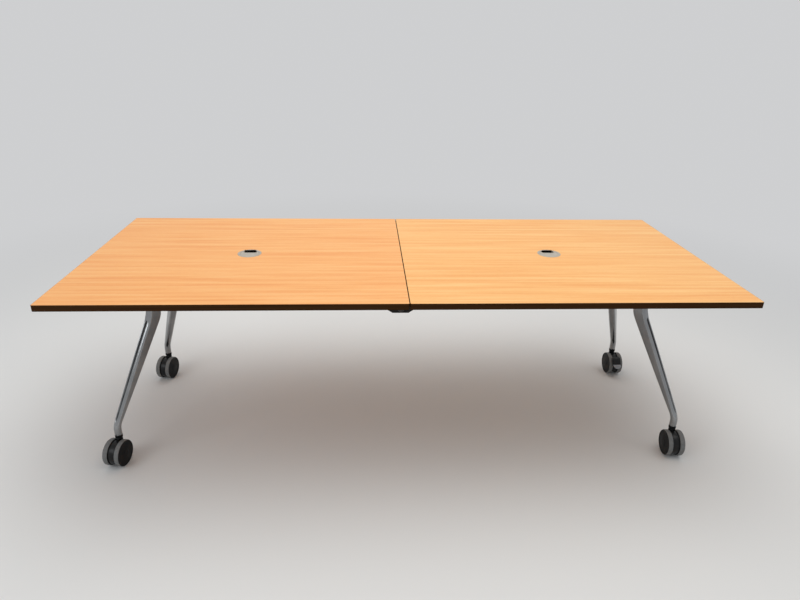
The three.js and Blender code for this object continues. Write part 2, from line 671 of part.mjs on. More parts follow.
// Castors: drawn with the stem's axis at the origin and the wheels trailing along +X, then turned and placed.
function castorStem() {
  const bottom = COLLAR_Z - SPIGOT_LENGTH;
  const collarTop = FOOT_Z - CLEARANCE;
  const profile = [
    [0, bottom],
    [SPIGOT_RADIUS, bottom],
    [SPIGOT_RADIUS, COLLAR_Z],
    [COLLAR_RADIUS, COLLAR_Z],
    [COLLAR_RADIUS, collarTop],
    [STEM_RADIUS, collarTop],
    [STEM_RADIUS, FOOT_Z + STEM_GRIP],
    [0, FOOT_Z + STEM_GRIP],
  ];
  return turnedZ(profile, STEM_SIDES);
}

const PEDAL_X = CASTOR_TRAIL + PEDAL_PIVOT_FORWARD;
const PEDAL_Z = AXLE_Z + PEDAL_PIVOT_RISE;
const AXLE_END_Y = HOOD_WIDTH / 2 + AXLE_SEAT;

function castorHood(braked) {
  const drum = new THREE.Shape();
  const inner = HOOD_RADIUS - HOOD_CHAMFER;
  const chord = Math.asin((AXLE_Z - HOOD_FLOOR_GAP - HOOD_CHAMFER) / inner);
  drum.absarc(CASTOR_TRAIL, AXLE_Z, inner, -chord, Math.PI + chord);
  drum.closePath();
  const chamfered = new THREE.ExtrudeGeometry(drum, {
    depth: HOOD_WIDTH - 2 * HOOD_CHAMFER,
    bevelThickness: HOOD_CHAMFER,
    bevelSize: HOOD_CHAMFER,
    bevelSegments: 1,
    curveSegments: HOOD_STEPS,
  });
  const upright = new THREE.Matrix4().makeBasis(X_AXIS, Z_AXIS, Y_AXIS.clone().negate());
  chamfered.applyMatrix4(upright).translate(0, HOOD_WIDTH / 2 - HOOD_CHAMFER, 0);
  const top = COLLAR_Z - CLEARANCE;
  const neckProfile = [[0, NECK_BASE_Z], [NECK_BASE_RADIUS, NECK_BASE_Z], [NECK_RADIUS, top], [0, top]];
  const neck = turnedZ(neckProfile, STEM_SIDES);
  const socketBottom = COLLAR_Z - SPIGOT_LENGTH - CLEARANCE;
  const axle = barY(AXLE_RADIUS, -AXLE_END_Y, AXLE_END_Y, CASTOR_TRAIL, AXLE_Z, STEM_SIDES);
  const joined = [chamfered, neck, axle];
  const cut = [barZ(SPIGOT_RADIUS + CLEARANCE, socketBottom, top + CUT_OVERSHOOT, 0, 0, STEM_SIDES)];
  if (braked) {
    const slotHalf = PEDAL_SLOT_WIDTH / 2;
    const trunnion = slotHalf + PEDAL_TRUNNION_LENGTH + CLEARANCE;
    const slotX = PEDAL_X - PEDAL_SLOT_DEPTH;
    const slotEnd = CASTOR_TRAIL + HOOD_RADIUS + CUT_OVERSHOOT;
    const slotLow = PEDAL_Z - PEDAL_SLOT_HEIGHT / 2;
    const slotHigh = PEDAL_Z + PEDAL_SLOT_HEIGHT / 2;
    cut.push(box([slotX, -slotHalf, slotLow], [slotEnd, slotHalf, slotHigh]));
    cut.push(barY(PEDAL_TRUNNION_RADIUS + CLEARANCE, -trunnion, trunnion, PEDAL_X, PEDAL_Z, STEM_SIDES));
  }
  return carve(joined, cut);
}

function brakePedal() {
  const armHalf = PEDAL_SLOT_WIDTH / 2 - CLEARANCE;
  const trunnion = armHalf + PEDAL_TRUNNION_LENGTH;
  const treadHalf = PEDAL_TREAD_WIDTH / 2;
  const halfThick = PEDAL_THICKNESS / 2;
  const slope = THREE.MathUtils.degToRad(PEDAL_SLOPE);
  const arm = box([0, -armHalf, -halfThick], [PEDAL_LENGTH, armHalf, halfThick]);
  const treadOutline = roundedRectangle(
    new THREE.Shape(), PEDAL_ARM, PEDAL_LENGTH, -treadHalf, treadHalf, PEDAL_TREAD_CORNER);
  const tread = slab(treadOutline, -halfThick, halfThick);
  const lever = carve([arm, tread]).rotateY(slope).translate(PEDAL_X, 0, PEDAL_Z);
  return carve([
    lever,
    barY(PEDAL_EYE_RADIUS, -armHalf, armHalf, PEDAL_X, PEDAL_Z, STEM_SIDES),
    barY(PEDAL_TRUNNION_RADIUS, -trunnion, trunnion, PEDAL_X, PEDAL_Z, STEM_SIDES),
  ]);
}

// Wheel profiles are [radius, place along the axle]; end is -1 or 1, the end of the axle that the wheel is on.
const WHEEL_INNER_Y = HOOD_WIDTH / 2 + WHEEL_PLAY;
const WHEEL_OUTER_Y = WHEEL_INNER_Y + WHEEL_WIDTH;
const HUB_DISC_RADIUS = TYRE_RADIUS - TYRE_THICKNESS - CLEARANCE;
const FLAT_DOWN = Math.PI / WHEEL_SIDES;

function onAxle(profile, end) {
  const placed = profile.map(([radius, along]) => [radius, end * along]);
  return turnedY(placed, WHEEL_SIDES, FLAT_DOWN).translate(CASTOR_TRAIL, 0, AXLE_Z);
}

function wheelHub(end) {
  const boreEnd = AXLE_END_Y + CLEARANCE;
  return onAxle([
    [0, boreEnd],
    [AXLE_RADIUS + CLEARANCE, boreEnd],
    [AXLE_RADIUS + CLEARANCE, WHEEL_INNER_Y],
    [HUB_DISC_RADIUS, WHEEL_INNER_Y],
    [HUB_DISC_RADIUS, WHEEL_OUTER_Y - HUB_DISC_BULGE],
    [HUB_DISC_RADIUS - HUB_DISC_RIM, WHEEL_OUTER_Y],
    [0, WHEEL_OUTER_Y + HUB_DISC_BULGE],
  ], end);
}

function tyre(end) {
  const bore = TYRE_RADIUS - TYRE_THICKNESS;
  const shoulder = TYRE_RADIUS - TYRE_SHOULDER;
  return onAxle([
    [bore, WHEEL_INNER_Y],
    [shoulder, WHEEL_INNER_Y],
    [TYRE_RADIUS, WHEEL_INNER_Y + TYRE_SHOULDER],
    [TYRE_RADIUS, WHEEL_OUTER_Y - TYRE_SHOULDER],
    [shoulder, WHEEL_OUTER_Y],
    [bore, WHEEL_OUTER_Y],
    [bore, WHEEL_INNER_Y],
  ], end);
}

function addCastor(name, side, depthSide, heading, braked) {
  const mount = new THREE.Group();
  mount.position.set(side * CASTOR_X, depthSide * CASTOR_Y, 0);
  table.add(mount);
  addPiece(`${name}_castor_stem`, castorStem(), blackPlastic, mount);
  const swivel = new THREE.Group();
  swivel.rotation.z = THREE.MathUtils.degToRad(heading);
  mount.add(swivel);
  addPiece(`${name}_castor_hood`, castorHood(braked), blackPlastic, swivel);
  [-1, 1].forEach((end, index) => {
    addPiece(`${name}_wheel_hub_${index + 1}`, wheelHub(end), blackPlastic, swivel);
    addPiece(`${name}_tyre_${index + 1}`, tyre(end), tyreGrey, swivel);
  });
  if (braked) addPiece(`${name}_brake_pedal`, brakePedal(), paleGrey, swivel);
}

// Assembly
for (const [end, side] of [['left', -1], ['right', 1]]) {
  addPiece(`${end}_board`, board(side), beech);
  addPiece(`${end}_edge_band`, edgeBand(side), edging);
  addPiece(`${end}_grommet_liner`, grommetLiner(side), paleGrey);
  addPiece(`${end}_grommet_cap`, grommetCap(side), paleGrey);
  for (const [place, depthSide] of [['front', -1], ['rear', 1]]) {
    addPiece(`${end}_${place}_rail`, rail(side, depthSide), blackSteel);
    addPiece(`${end}_${place}_leg`, leg(side, depthSide), castAluminium);
  }
  addPiece(`${end}_bridge`, bridge(side), blackSteel);
  addPiece(`${end}_main_shaft`,
    barY(MAIN_SHAFT_RADIUS, -SHAFT_END_Y, SHAFT_END_Y, side * FRAME_PIVOT_X, PIVOT_Z), brightSteel);
  addPiece(`${end}_clevis_pin`,
    headedPin(side * (FRAME_PIVOT_X - ROD_OFFSET), ROD_Z, CLEVIS_OUTER_Y), brightSteel);
  addPiece(`${end}_push_rod`, pushRod(side), blackSteel);
  addPiece(`hub_${end}_shaft`,
    barY(HUB_SHAFT_RADIUS, -SHAFT_END_Y, SHAFT_END_Y, side * HUB_PIVOT_X, PIVOT_Z), brightSteel);
  addPiece(`hub_${end}_rod_pin`,
    headedPin(side * (HUB_PIVOT_X - ROD_OFFSET), ROD_Z, PLATE_OUTER_Y), brightSteel);
}
addPiece('hub_front_plate', hubPlate(-1), blackSteel);
addPiece('hub_rear_plate', hubPlate(1), blackSteel);
addPiece('hub_spacer',
  barY(SPACER_RADIUS, -PLATE_INNER_Y, PLATE_INNER_Y, 0, PIVOT_Z - SPACER_DROP), brightSteel);
addPiece('lock_plunger', lockPlunger(), paleGrey);

// Headings, in degrees from +X, are where the wheels trail to; one castor has a brake.
addCastor('front_left', -1, -1, -102, false);
addCastor('front_right', 1, -1, -94, false);
addCastor('rear_left', -1, 1, -102, false);
addCastor('rear_right', 1, 1, -90, true);

export default table;
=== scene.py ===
"""Looks of the flip top training table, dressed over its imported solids.

Metres, +Z up, +X along the table's long side. Round and cast pieces are worked out again as fine surfaces at
the solids' own sizes, and each surface is a grid of points given by a formula. Boards and rails keep their
solids and get a finish.
"""
import math

import bmesh
import bpy
import numpy as np
from mathutils import Matrix, Vector


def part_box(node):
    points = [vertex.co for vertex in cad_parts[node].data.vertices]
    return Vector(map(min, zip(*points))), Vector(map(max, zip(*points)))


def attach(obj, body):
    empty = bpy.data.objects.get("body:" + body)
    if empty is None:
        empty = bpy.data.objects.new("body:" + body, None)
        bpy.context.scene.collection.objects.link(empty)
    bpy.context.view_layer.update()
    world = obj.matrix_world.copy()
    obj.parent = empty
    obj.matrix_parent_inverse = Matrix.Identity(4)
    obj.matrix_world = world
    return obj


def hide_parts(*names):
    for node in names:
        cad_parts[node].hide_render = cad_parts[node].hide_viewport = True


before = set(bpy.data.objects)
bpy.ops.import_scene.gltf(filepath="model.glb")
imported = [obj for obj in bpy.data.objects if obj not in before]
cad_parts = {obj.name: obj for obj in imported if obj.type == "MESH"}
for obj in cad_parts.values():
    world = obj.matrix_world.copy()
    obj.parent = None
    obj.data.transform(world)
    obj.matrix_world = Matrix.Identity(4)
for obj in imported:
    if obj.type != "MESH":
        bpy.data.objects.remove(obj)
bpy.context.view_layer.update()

# Photograph and camera
FRAME_WIDTH_PX = 800
FOCAL_LENGTH_PX = 614.8
SENSOR_WIDTH_MM = 36.0
CAMERA_PLACE = (-0.150, -2.328, 1.537)
CAMERA_YAW = math.radians(3.65)
CAMERA_PITCH = math.radians(23.41)
CAMERA_ROLL = math.radians(-1.23)

# Heights and places taken from the solids

def middle_of(node):
    """The middle of a solid's box along X, Y and Z."""
    low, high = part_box(node)
    return [(first + last) / 2 for first, last in zip(low, high)]


BOARD_LOW, BOARD_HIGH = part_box("right_board")
TOP_Z = BOARD_HIGH.z
UNDERSIDE_Z = BOARD_LOW.z
FRAME_PIVOT_X = middle_of("right_main_shaft")[0]
PIVOT_Z = middle_of("right_main_shaft")[2]
SHAFT_END_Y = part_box("right_main_shaft")[1].y
HUB_PIVOT_X = middle_of("hub_right_shaft")[0]
ROD_Z = middle_of("right_push_rod")[2]
GROMMET_X = middle_of("right_grommet_liner")[0]
CASTOR_X, CASTOR_Y = middle_of("rear_right_castor_stem")[:2]
PLATE_LOW, PLATE_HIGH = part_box("hub_rear_plate")

# Fineness of the surfaces
TINY = 1e-12
MERGE_DISTANCE = 1e-6
LEAST_STEP = 1e-7
MITRE_LIMIT = 0.4
EDGE_STEPS = 5
SMALL_ROUND = 48
ROUND = 64
LARGE_ROUND = 96

# Clearances and edges that many pieces share
FIT = 0.0003
SOFT_EDGE = 0.0008

# Edge band and laminate
BAND_THICKNESS = 0.002
BAND_EDGE = 0.0006
LAMINATE_LIP = 0.0009
DARK_LINE = 0.0008
CORNER_RADIUS = 0.005

# Grommets
LINER_RADIUS = 0.0462
LINER_RISE = 0.0007
LINER_BORE = 0.0372
LINER_DEPTH = 0.020
LINER_UNDERCUT = 0.0002
LINER_STEP_RADIUS = 0.0457
LINER_STEP_DEPTH = 0.0029
LINER_SLEEVE_RADIUS = 0.0397
LINER_SLEEVE_TOP = 0.003
LINER_BORE_EDGE = 0.0006
LINER_FLANGE_EDGE = 0.0005
LINER_EDGE = 0.0004
CAP_RADIUS = 0.0366
CAP_THICKNESS = 0.0035
CAP_PROUD = 0.0003
CAP_EDGE = 0.0006
CAP_LEDGE = 0.003
CAP_LEDGE_THICKNESS = 0.002
SLOT_HALF_WIDTH = 0.025
SLOT_FRONT_Y = 0.0096
SLOT_CORNER = 0.009

# Brush in each cable slot
BRUSH_SEED = 7
BRUSH_HALF_WIDTH = 0.0235
BRUSH_RIM_INSET = 0.0012
BRUSH_OVERLAP = 0.002
BRISTLE_COUNT = 260
BRISTLE_WIDTH = 0.0007
BRISTLE_RINGS = 4
BRISTLE_ROOTS = (0.0035, 0.0090)
BRISTLE_RISE = 0.0010
BRISTLE_RISE_SPREAD = 0.0012
BRISTLE_LEAN = 0.0012
STANDING_COUNT = 120
STANDING_REACH = (-0.006, -0.001)
CREST_RISE = 0.0025
CREST_END_RISE = 0.0030
CREST_SPREAD = 0.0006

# Rail screws
RAIL_WALL = 0.003
SCREW_COUNT = 5
SCREW_FIRST_X = 0.16
SCREW_LAST_X = 0.86
SCREW_RADIUS = 0.0050
SCREW_SHOULDER_RADIUS = 0.0046
SCREW_SHOULDER = 0.0022
SCREW_SHOULDER_EDGE = 0.0012
SCREW_CROWN = 0.0024
SCREW_CROWN_EDGE = 0.0003
SOCKET_RADIUS = 0.0016
SOCKET_FLOOR = 0.0008

# Legs
LEG_HEAD_Y = 0.149
LEG_HEAD_WIDTH = 0.060
LEG_HEAD_RADIUS = 0.026
LEG_HEAD_EDGE = 0.002
LEG_HEAD_DEPTH = 0.044
LEG_HEAD_THICKNESS = 0.028
LEG_TOP_DROP = 0.014
KNEE_Z = 0.535
KNEE_BLEND = 0.030
KNEE_DEPTH = 0.054
KNEE_THICKNESS = 0.034
KNEE_CORNER = 0.009
ANKLE_Z = 0.155
ANKLE_BLEND = 0.018
FOOT_Z = 0.118
FOOT_DIAMETER = 0.027
LEG_TAPER_POWER = 1.3
KNEE_RINGS = 44
SHIN_RINGS = 50
ANKLE_RINGS = 34
LEG_CORNER_POINTS = 22
LEG_EDGE_POINTS = 40
GROOVE_TOP_Z = 0.522
GROOVE_BOTTOM_Z = 0.172
GROOVE_RUNOUT = 0.010
GROOVE_TOP_WIDTH = 0.014
GROOVE_BOTTOM_WIDTH = 0.009
GROOVE_DEPTH = 0.005
GROOVE_LIP = 0.0016
LIP_RISE = 0.0011
LIP_SPREAD = GROOVE_LIP * 0.8
SPLAY = math.hypot(CASTOR_X - FRAME_PIVOT_X, CASTOR_Y - LEG_HEAD_Y)
SPLAY_X = (CASTOR_X - FRAME_PIVOT_X) / SPLAY
SPLAY_Y = (CASTOR_Y - LEG_HEAD_Y) / SPLAY

# Shafts, pins and rods
MAIN_SHAFT_RADIUS = 0.0125
HUB_SHAFT_RADIUS = 0.010
SHAFT_EDGE = 0.0015
SHAFT_RING_WIDTH = 0.0035
SHAFT_RING_RISE = 0.005
SHAFT_RING_EDGE = 0.0005
SHAFT_RING_Y = SHAFT_END_Y - 0.0045
ROD_PIN_RADIUS = 0.006
PIN_END_EDGE = 0.001
PIN_HEAD_RADIUS = 0.0095
PIN_HEAD_THICKNESS = 0.004
PIN_SEAT_EDGE = 0.0004
PIN_HEAD_EDGE = 0.0012
BRIDGE_RADIUS = 0.020
BRIDGE_HALF = 0.1187
ROD_OFFSET = 0.034
ROD_RADIUS = 0.009
ROD_EYE_RADIUS = 0.014
ROD_EYE_WIDTH = 0.020
ROD_BAR_INSET = ROD_EYE_RADIUS * 0.8
CLEVIS_INNER_Y = 0.0105
CLEVIS_CHEEK = 0.008
CLEVIS_RADIUS = 0.016

# Hub and lock
HUB_BOTTOM_HALF = 0.033
HUB_SIDE_SLOPE = 0.65
HUB_HEAD_RADIUS = 0.026
HUB_FOOT_CORNER = 0.003
HUB_SHOULDER_CORNER = 0.010
SPACER_RADIUS = 0.012
SPACER_DROP = 0.030
BOLT_RADIUS = 0.0095
BOLT_HEIGHT = 0.0055
BOLT_EDGE = 0.0006
LOCK_Z = 0.508
LOCK_PLATE_THICKNESS = 0.005
LOCK_PLATE_MARGIN = 0.007
LOCK_PLATE_OVERRUN = math.radians(15)
LOCK_PLATE_EDGE = 0.0005
LOCK_NOSE_RADIUS = 0.0045
LOCK_NOSE_EDGE = 0.001
KNOB_RADIUS = 0.0135
KNOB_LENGTH = 0.016
KNOB_BACK_EDGE = 0.002
KNOB_FRONT_EDGE = 0.0025
KNOB_DOME = 0.0004
KNOB_WAIST = 0.0012
KNOB_WAIST_RADIUS = 0.008
KNOB_NECK_RADIUS = 0.008
KNOB_NECK_LENGTH = 0.008
KNOB_NECK_EDGE = 0.0005

# Castors, with their headings in degrees anticlockwise from +X
CASTOR_HEADINGS = {"front_left": -102.0, "front_right": -94.0, "rear_left": -102.0, "rear_right": -90.0}
BRAKED = ("rear_right",)
CASTOR_TRAIL = 0.024
TYRE_CORNER_RADIUS = 0.052
TYRE_HALF_FACET = math.pi / 16
TYRE_RADIUS = TYRE_CORNER_RADIUS * math.cos(TYRE_HALF_FACET)
TYRE_THICKNESS = 0.0035
TYRE_BORE_EDGE = 0.0006
TYRE_INNER_SHOULDER = 0.003
TYRE_OUTER_SHOULDER = 0.0035
AXLE_Z = TYRE_RADIUS
AXLE_RADIUS = 0.004
AXLE_END_Y = 0.0275
HOOD_HALF = 0.0135
HOOD_RADIUS = 0.046
HOOD_FLOOR_GAP = 0.016
HOOD_EDGE = 0.003
CHEEK_EDGE = 0.0002
NECK_RADIUS = 0.0125
NECK_EDGE = 0.002
NECK_BASE_RADIUS = 0.0135
NECK_BASE_Z = 0.062
COLLAR_Z = 0.105
COLLAR_RADIUS = 0.014
COLLAR_LOW_EDGE = 0.002
COLLAR_HIGH_EDGE = 0.003
STEM_RADIUS = 0.005
STEM_LENGTH = 0.032
STEM_EDGE = 0.001
SPIGOT_RADIUS = 0.006
SPIGOT_LENGTH = 0.033
WHEEL_INNER_Y = 0.0139
WHEEL_WIDTH = 0.018
DISC_BULGE = 0.0025
BOSS_BASE_RADIUS = 0.016
BOSS_RADIUS = 0.0145
BOSS_RISE = 0.0006
BOSS_CROWN = 0.0012
BOSS_EDGE = 0.001

# Corners of a disc's rim bead: out from the disc's edge, proud of the tread's side, and their radii
RIM_BEAD = ((0, -0.0006, 0), (0.0020, -0.0004, 0.0004), (0.0016, 0.0008, 0.001),
            (-0.0030, 0.0010, 0.001), (-0.0040, 0.0002, 0.001))

# Brake pedal
PEDAL_FORWARD = 0.030
PEDAL_RISE = 0.026
PEDAL_SLOPE = math.radians(20)
PEDAL_ARM = 0.027
PEDAL_LENGTH = 0.044
PEDAL_THICKNESS = 0.005
PEDAL_EDGE = 0.0012
PEDAL_CORNER = 0.002
PEDAL_NOTCH = 0.001
PEDAL_SLOT_HALF = 0.009
PEDAL_TREAD_HALF = 0.020
PEDAL_TREAD_CORNER = 0.004
PEDAL_EYE_RADIUS = 0.005
PEDAL_EYE_EDGE = 0.0006
TRUNNION_RADIUS = 0.0025
TRUNNION_HALF = 0.0112
TRUNNION_EDGE = 0.0004
BAY_DEPTH = 0.007
BAY_HEIGHT = 0.026
BAY_LOW_CORNER = 0.002
BAY_HIGH_CORNER = 0.0008
PAD_MARGIN = 0.0018
PAD_RISE = 0.0011
PAD_SINK = 0.0002
PAD_BEND = 0.004
PAD_BEND_ANGLE = math.radians(62)
PAD_LIP = 0.006
PAD_RINGS = 48
RIB_PLACES = (0.0050, 0.0085, 0.0120)
RIB_HALF_LENGTH = 0.0140
RIB_HALF_WIDTH = 0.0008
RIB_CORNER = 0.0007
RIB_EDGE = 0.0003
RIB_SINK = 0.0006
RIB_RISE = 0.0007
SHIELD_RADIUS = 0.0585
SHIELD_THICKNESS = 0.003
SHIELD_LOW = math.radians(16)
SHIELD_HIGH = math.radians(54)
SHIELD_CORNER = 0.006
SHIELD_RINGS = 40

# Stage
BACKDROP = (0.62, 0.625, 0.635)
SKY = (0.80, 0.82, 0.85)
SKY_STRENGTH = 0.55
FLOOR_REACH = 40.0
FADE_START = 1.5
FADE_END = 4.2


# Names of the table's halves and ends

def side_name(side):
    return "left" if side < 0 else "right"


def end_name(depth_side):
    return "front" if depth_side < 0 else "rear"


# Shape tools

X_AXIS, Y_AXIS, Z_AXIS = np.eye(3)


def unit(vectors):
    """Vectors along the last axis, each divided by its length."""
    return vectors / np.maximum(np.linalg.norm(vectors, axis=-1, keepdims=True), TINY)


def grid_faces(rows, columns, wrap):
    """Quads between neighbouring rows of points, counted row by row. wrap joins last column and first."""
    row, column = np.meshgrid(np.arange(rows - 1), np.arange(columns - (not wrap)), indexing="ij")
    following = (column + 1) % columns
    below, above = row * columns, (row + 1) * columns
    quads = [below + column, below + following, above + following, above + column]
    return np.stack(quads, -1).reshape(-1, 4)


def weld(mesh):
    """Merges coincident points, so seams and poles close, and turns the faces outwards. A thin ring can
    come out facing inwards, which shows as a volume below zero."""
    work = bmesh.new()
    work.from_mesh(mesh)
    bmesh.ops.remove_doubles(work, verts=work.verts, dist=MERGE_DISTANCE)
    bmesh.ops.dissolve_degenerate(work, edges=work.edges, dist=LEAST_STEP)
    bmesh.ops.recalc_face_normals(work, faces=work.faces)
    if work.calc_volume(signed=True) < 0:
        bmesh.ops.reverse_faces(work, faces=work.faces)
    work.to_mesh(mesh)
    work.free()


def piece(name, grids, finish, body, stands_for=None, polygons=(), sharp=38, marks=None):
    """One object from grids of points, each (points, wrap), and flat polygons that close their ends.
    stands_for names the solid whose place it takes. Edges sharper than sharp, in degrees, stay crisp. marks
    are values on the first grid's points for the finish."""
    points, faces, start = [], [], 0
    for grid, wrap in grids:
        points.append(grid.reshape(-1, 3))
        faces += (grid_faces(grid.shape[0], grid.shape[1], wrap) + start).tolist()
        start += grid.shape[0] * grid.shape[1]
    for polygon in polygons:
        points.append(polygon)
        faces.append(list(range(start, start + len(polygon))))
        start += len(polygon)
    mesh = bpy.data.meshes.new(name)
    mesh.from_pydata(np.concatenate(points).tolist(), [], faces)
    if marks is not None:
        values = np.zeros(start)
        values[:marks.size] = marks.ravel()
        mesh.attributes.new("mark", "FLOAT", "POINT").data.foreach_set("value", values)
    weld(mesh)
    mesh.polygons.foreach_set("use_smooth", np.ones(len(mesh.polygons), bool))
    mesh.set_sharp_from_angle(angle=math.radians(sharp))
    mesh.materials.append(finish.material)
    made = bpy.data.objects.new(name, mesh)
    bpy.context.scene.collection.objects.link(made)
    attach(made, body)
    if stands_for:
        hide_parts(stands_for)


def fillet(corners, steps):
    """Closed outline through corners (across, up, radius), each rounded by an arc. The arc's centre lies on
    the corner's bisector, radius / sin(half angle) away, and it sweeps a half turn less the whole angle."""
    corners = np.asarray(corners, float)
    place, radius = corners[:, :2], corners[:, 2:]
    back = unit(np.roll(place, 1, axis=0) - place)
    ahead = unit(np.roll(place, -1, axis=0) - place)
    half = np.arccos(np.clip((back * ahead).sum(1), -1, 1))[:, None] / 2
    centre = place + unit(back + ahead) * radius / np.sin(half)
    touch = place + back * radius / np.tan(half) - centre
    turn = np.sign(back[:, 1:] * ahead[:, :1] - back[:, :1] * ahead[:, 1:])
    sweep = turn * (math.pi - 2 * half) * np.linspace(0, 1, steps + 1)
    angle = np.arctan2(touch[:, 1:], touch[:, :1]) + sweep
    arcs = centre[:, None, :] + radius[:, :, None] * np.stack([np.cos(angle), np.sin(angle)], -1)
    return arcs.reshape(-1, 2)


def rounded_rectangle(low, high, radius, steps):
    """The rectangle between two opposite corners, all four rounded by one radius."""
    corners = [(low[0], low[1]), (high[0], low[1]), (high[0], high[1]), (low[0], high[1])]
    return fillet([(*corner, radius) for corner in corners], steps)


def arc(centre, radius, start, end, steps):
    """Points on a circle from one angle to another."""
    angle = np.linspace(start, end, steps)
    return np.stack([centre[0] + radius * np.cos(angle), centre[1] + radius * np.sin(angle)], -1)


def closed(profile):
    """The profile with its first point again at its end."""
    return np.vstack([profile, profile[:1]])


def distinct(outline):
    """The outline without repeated points."""
    step = np.linalg.norm(outline - np.roll(outline, 1, axis=0), axis=1)
    return outline[step > LEAST_STEP]


def outward(outline):
    """Normals of a closed outline that runs anticlockwise, halfway between neighbouring edges' normals and
    lengthened so that an inset keeps its distance from both edges."""
    edge = unit(np.roll(outline, -1, axis=0) - outline)
    normal = np.stack([edge[:, 1], -edge[:, 0]], -1)
    before = np.roll(normal, 1, axis=0)
    middle = unit(normal + before)
    return middle / np.maximum((middle * normal).sum(1, keepdims=True), MITRE_LIMIT)


def prism(outline, low, high, edges, place):
    """Walls over an outline with quarter-round edges, of one radius or of two, at low and at high: at turn t
    an edge ring is drawn in by edge (1 - sin t) and stands edge (1 - cos t) from its end. place maps
    (across, up, along) columns to the table's frame. The two end polygons come with the walls."""
    outline = distinct(np.asarray(outline, float))
    normal = outward(outline)
    low_edge, high_edge = np.broadcast_to(edges, 2)
    turn = np.linspace(0, math.pi / 2, EDGE_STEPS)
    back = turn[::-1]
    inset = np.concatenate([low_edge * (1 - np.sin(turn)), high_edge * (1 - np.sin(back))])
    along = np.concatenate([low + low_edge * (1 - np.cos(turn)), high - high_edge * (1 - np.cos(back))])
    flat = outline[None] - normal[None] * inset[:, None, None]
    rings = place(flat[..., 0], flat[..., 1], np.broadcast_to(along[:, None], flat.shape[:2]))
    return (rings, True), [rings[0], rings[-1]]


def gathered(prisms):
    """The walls of several prisms in one list, and their end polygons in another."""
    return [walls for walls, _ in prisms], [end for _, ends in prisms for end in ends]


def facing_y(across, up, along):
    """An outline drawn in X and Z, pushed along Y."""
    return np.stack([across, along, up], -1)


def facing_z(across, up, along):
    """An outline drawn in X and Y, pushed along Z."""
    return np.stack([across, up, along], -1)


def revolve(profile, origin, axis, segments=ROUND):
    """Each profile row (radius, height) is carried round an axis by
    origin + axis height + radius (side cos t + up sin t)."""
    profile = np.asarray(profile, float)
    axis = unit(np.asarray(axis, float))
    helper = X_AXIS if abs(axis[2]) > abs(axis[0]) else Z_AXIS
    side = unit(np.cross(helper, axis))
    up = np.cross(axis, side)
    angle = np.linspace(0, 2 * math.pi, segments, endpoint=False)
    spoke = np.cos(angle)[:, None] * side + np.sin(angle)[:, None] * up
    radius, height = profile[:, 0, None, None], profile[:, 1, None, None]
    return np.asarray(origin, float) + height * axis + radius * spoke, True


def bar(start, end, radius, edge=SOFT_EDGE, segments=SMALL_ROUND):
    """A round bar with softened ends: a profile out from the axis, along and back, turned about its line."""
    start, end = np.asarray(start, float), np.asarray(end, float)
    length = np.linalg.norm(end - start)
    profile = fillet([(0, 0, 0), (radius, 0, edge), (radius, length, edge), (0, length, 0)], steps=4)
    return revolve(profile, start, end - start, segments)


def cross_bar(x, z, half_length, radius, edge=SOFT_EDGE, segments=SMALL_ROUND):
    """A round bar along Y, as long in front of the middle as behind it."""
    return bar((x, -half_length, z), (x, half_length, z), radius, edge, segments)


def sleeve(start, bore, radius, length, edge=SOFT_EDGE, segments=ROUND):
    """A rectangle off the axis, its corners softened, turned about a line along Y."""
    profile = rounded_rectangle((bore, 0), (radius, length), edge, steps=4)
    return revolve(closed(profile), start, Y_AXIS, segments)


def plate_along(path, out, half_width, half_thickness):
    """A thin plate carried along a path in X and Z. At every step the section is half_width sqrt|cos t|
    across Y and half_thickness sqrt|sin t| outwards, with the signs of cos t and sin t."""
    turn = np.linspace(0, 2 * math.pi, SMALL_ROUND, endpoint=False)
    across = np.sign(np.cos(turn)) * np.sqrt(np.abs(np.cos(turn)))
    outwards = np.sign(np.sin(turn)) * np.sqrt(np.abs(np.sin(turn)))
    middle = np.stack([path[:, 0], np.zeros(len(path)), path[:, 1]], -1)
    lift = np.stack([out[:, 0], np.zeros(len(out)), out[:, 1]], -1)
    width = (half_width[:, None] * across)[..., None] * Y_AXIS
    points = middle[:, None, :] + width + (half_thickness * outwards)[None, :, None] * lift[:, None, :]
    return (points, True), [points[0], points[-1]]


# Finishes

# Places of a mix node's sockets for a share and two colours, and of its colour output
MIX_COLOUR_INPUTS = (0, 6, 7)
MIX_COLOUR_OUTPUT = 2


def tinted(colour, red, green, blue):
    """A colour with each part taken times its share, one at the most."""
    return tuple(min(1, part * share) for part, share in zip(colour, (red, green, blue)))


def toned(colour, share):
    """A colour made darker or paler without a change of hue."""
    return tinted(colour, share, share, share)


def fill(node, inputs):
    """Links each named socket of a node to another node's output, or sets its value."""
    for socket, value in inputs.items():
        if isinstance(value, bpy.types.NodeSocket):
            node.id_data.links.new(value, node.inputs[socket])
        else:
            node.inputs[socket].default_value = value


def add(tree, kind, inputs, **settings):
    """A new shader node with its settings made and its sockets filled."""
    node = tree.nodes.new(f"ShaderNode{kind}")
    for setting, value in settings.items():
        setattr(node, setting, value)
    fill(node, inputs)
    return node


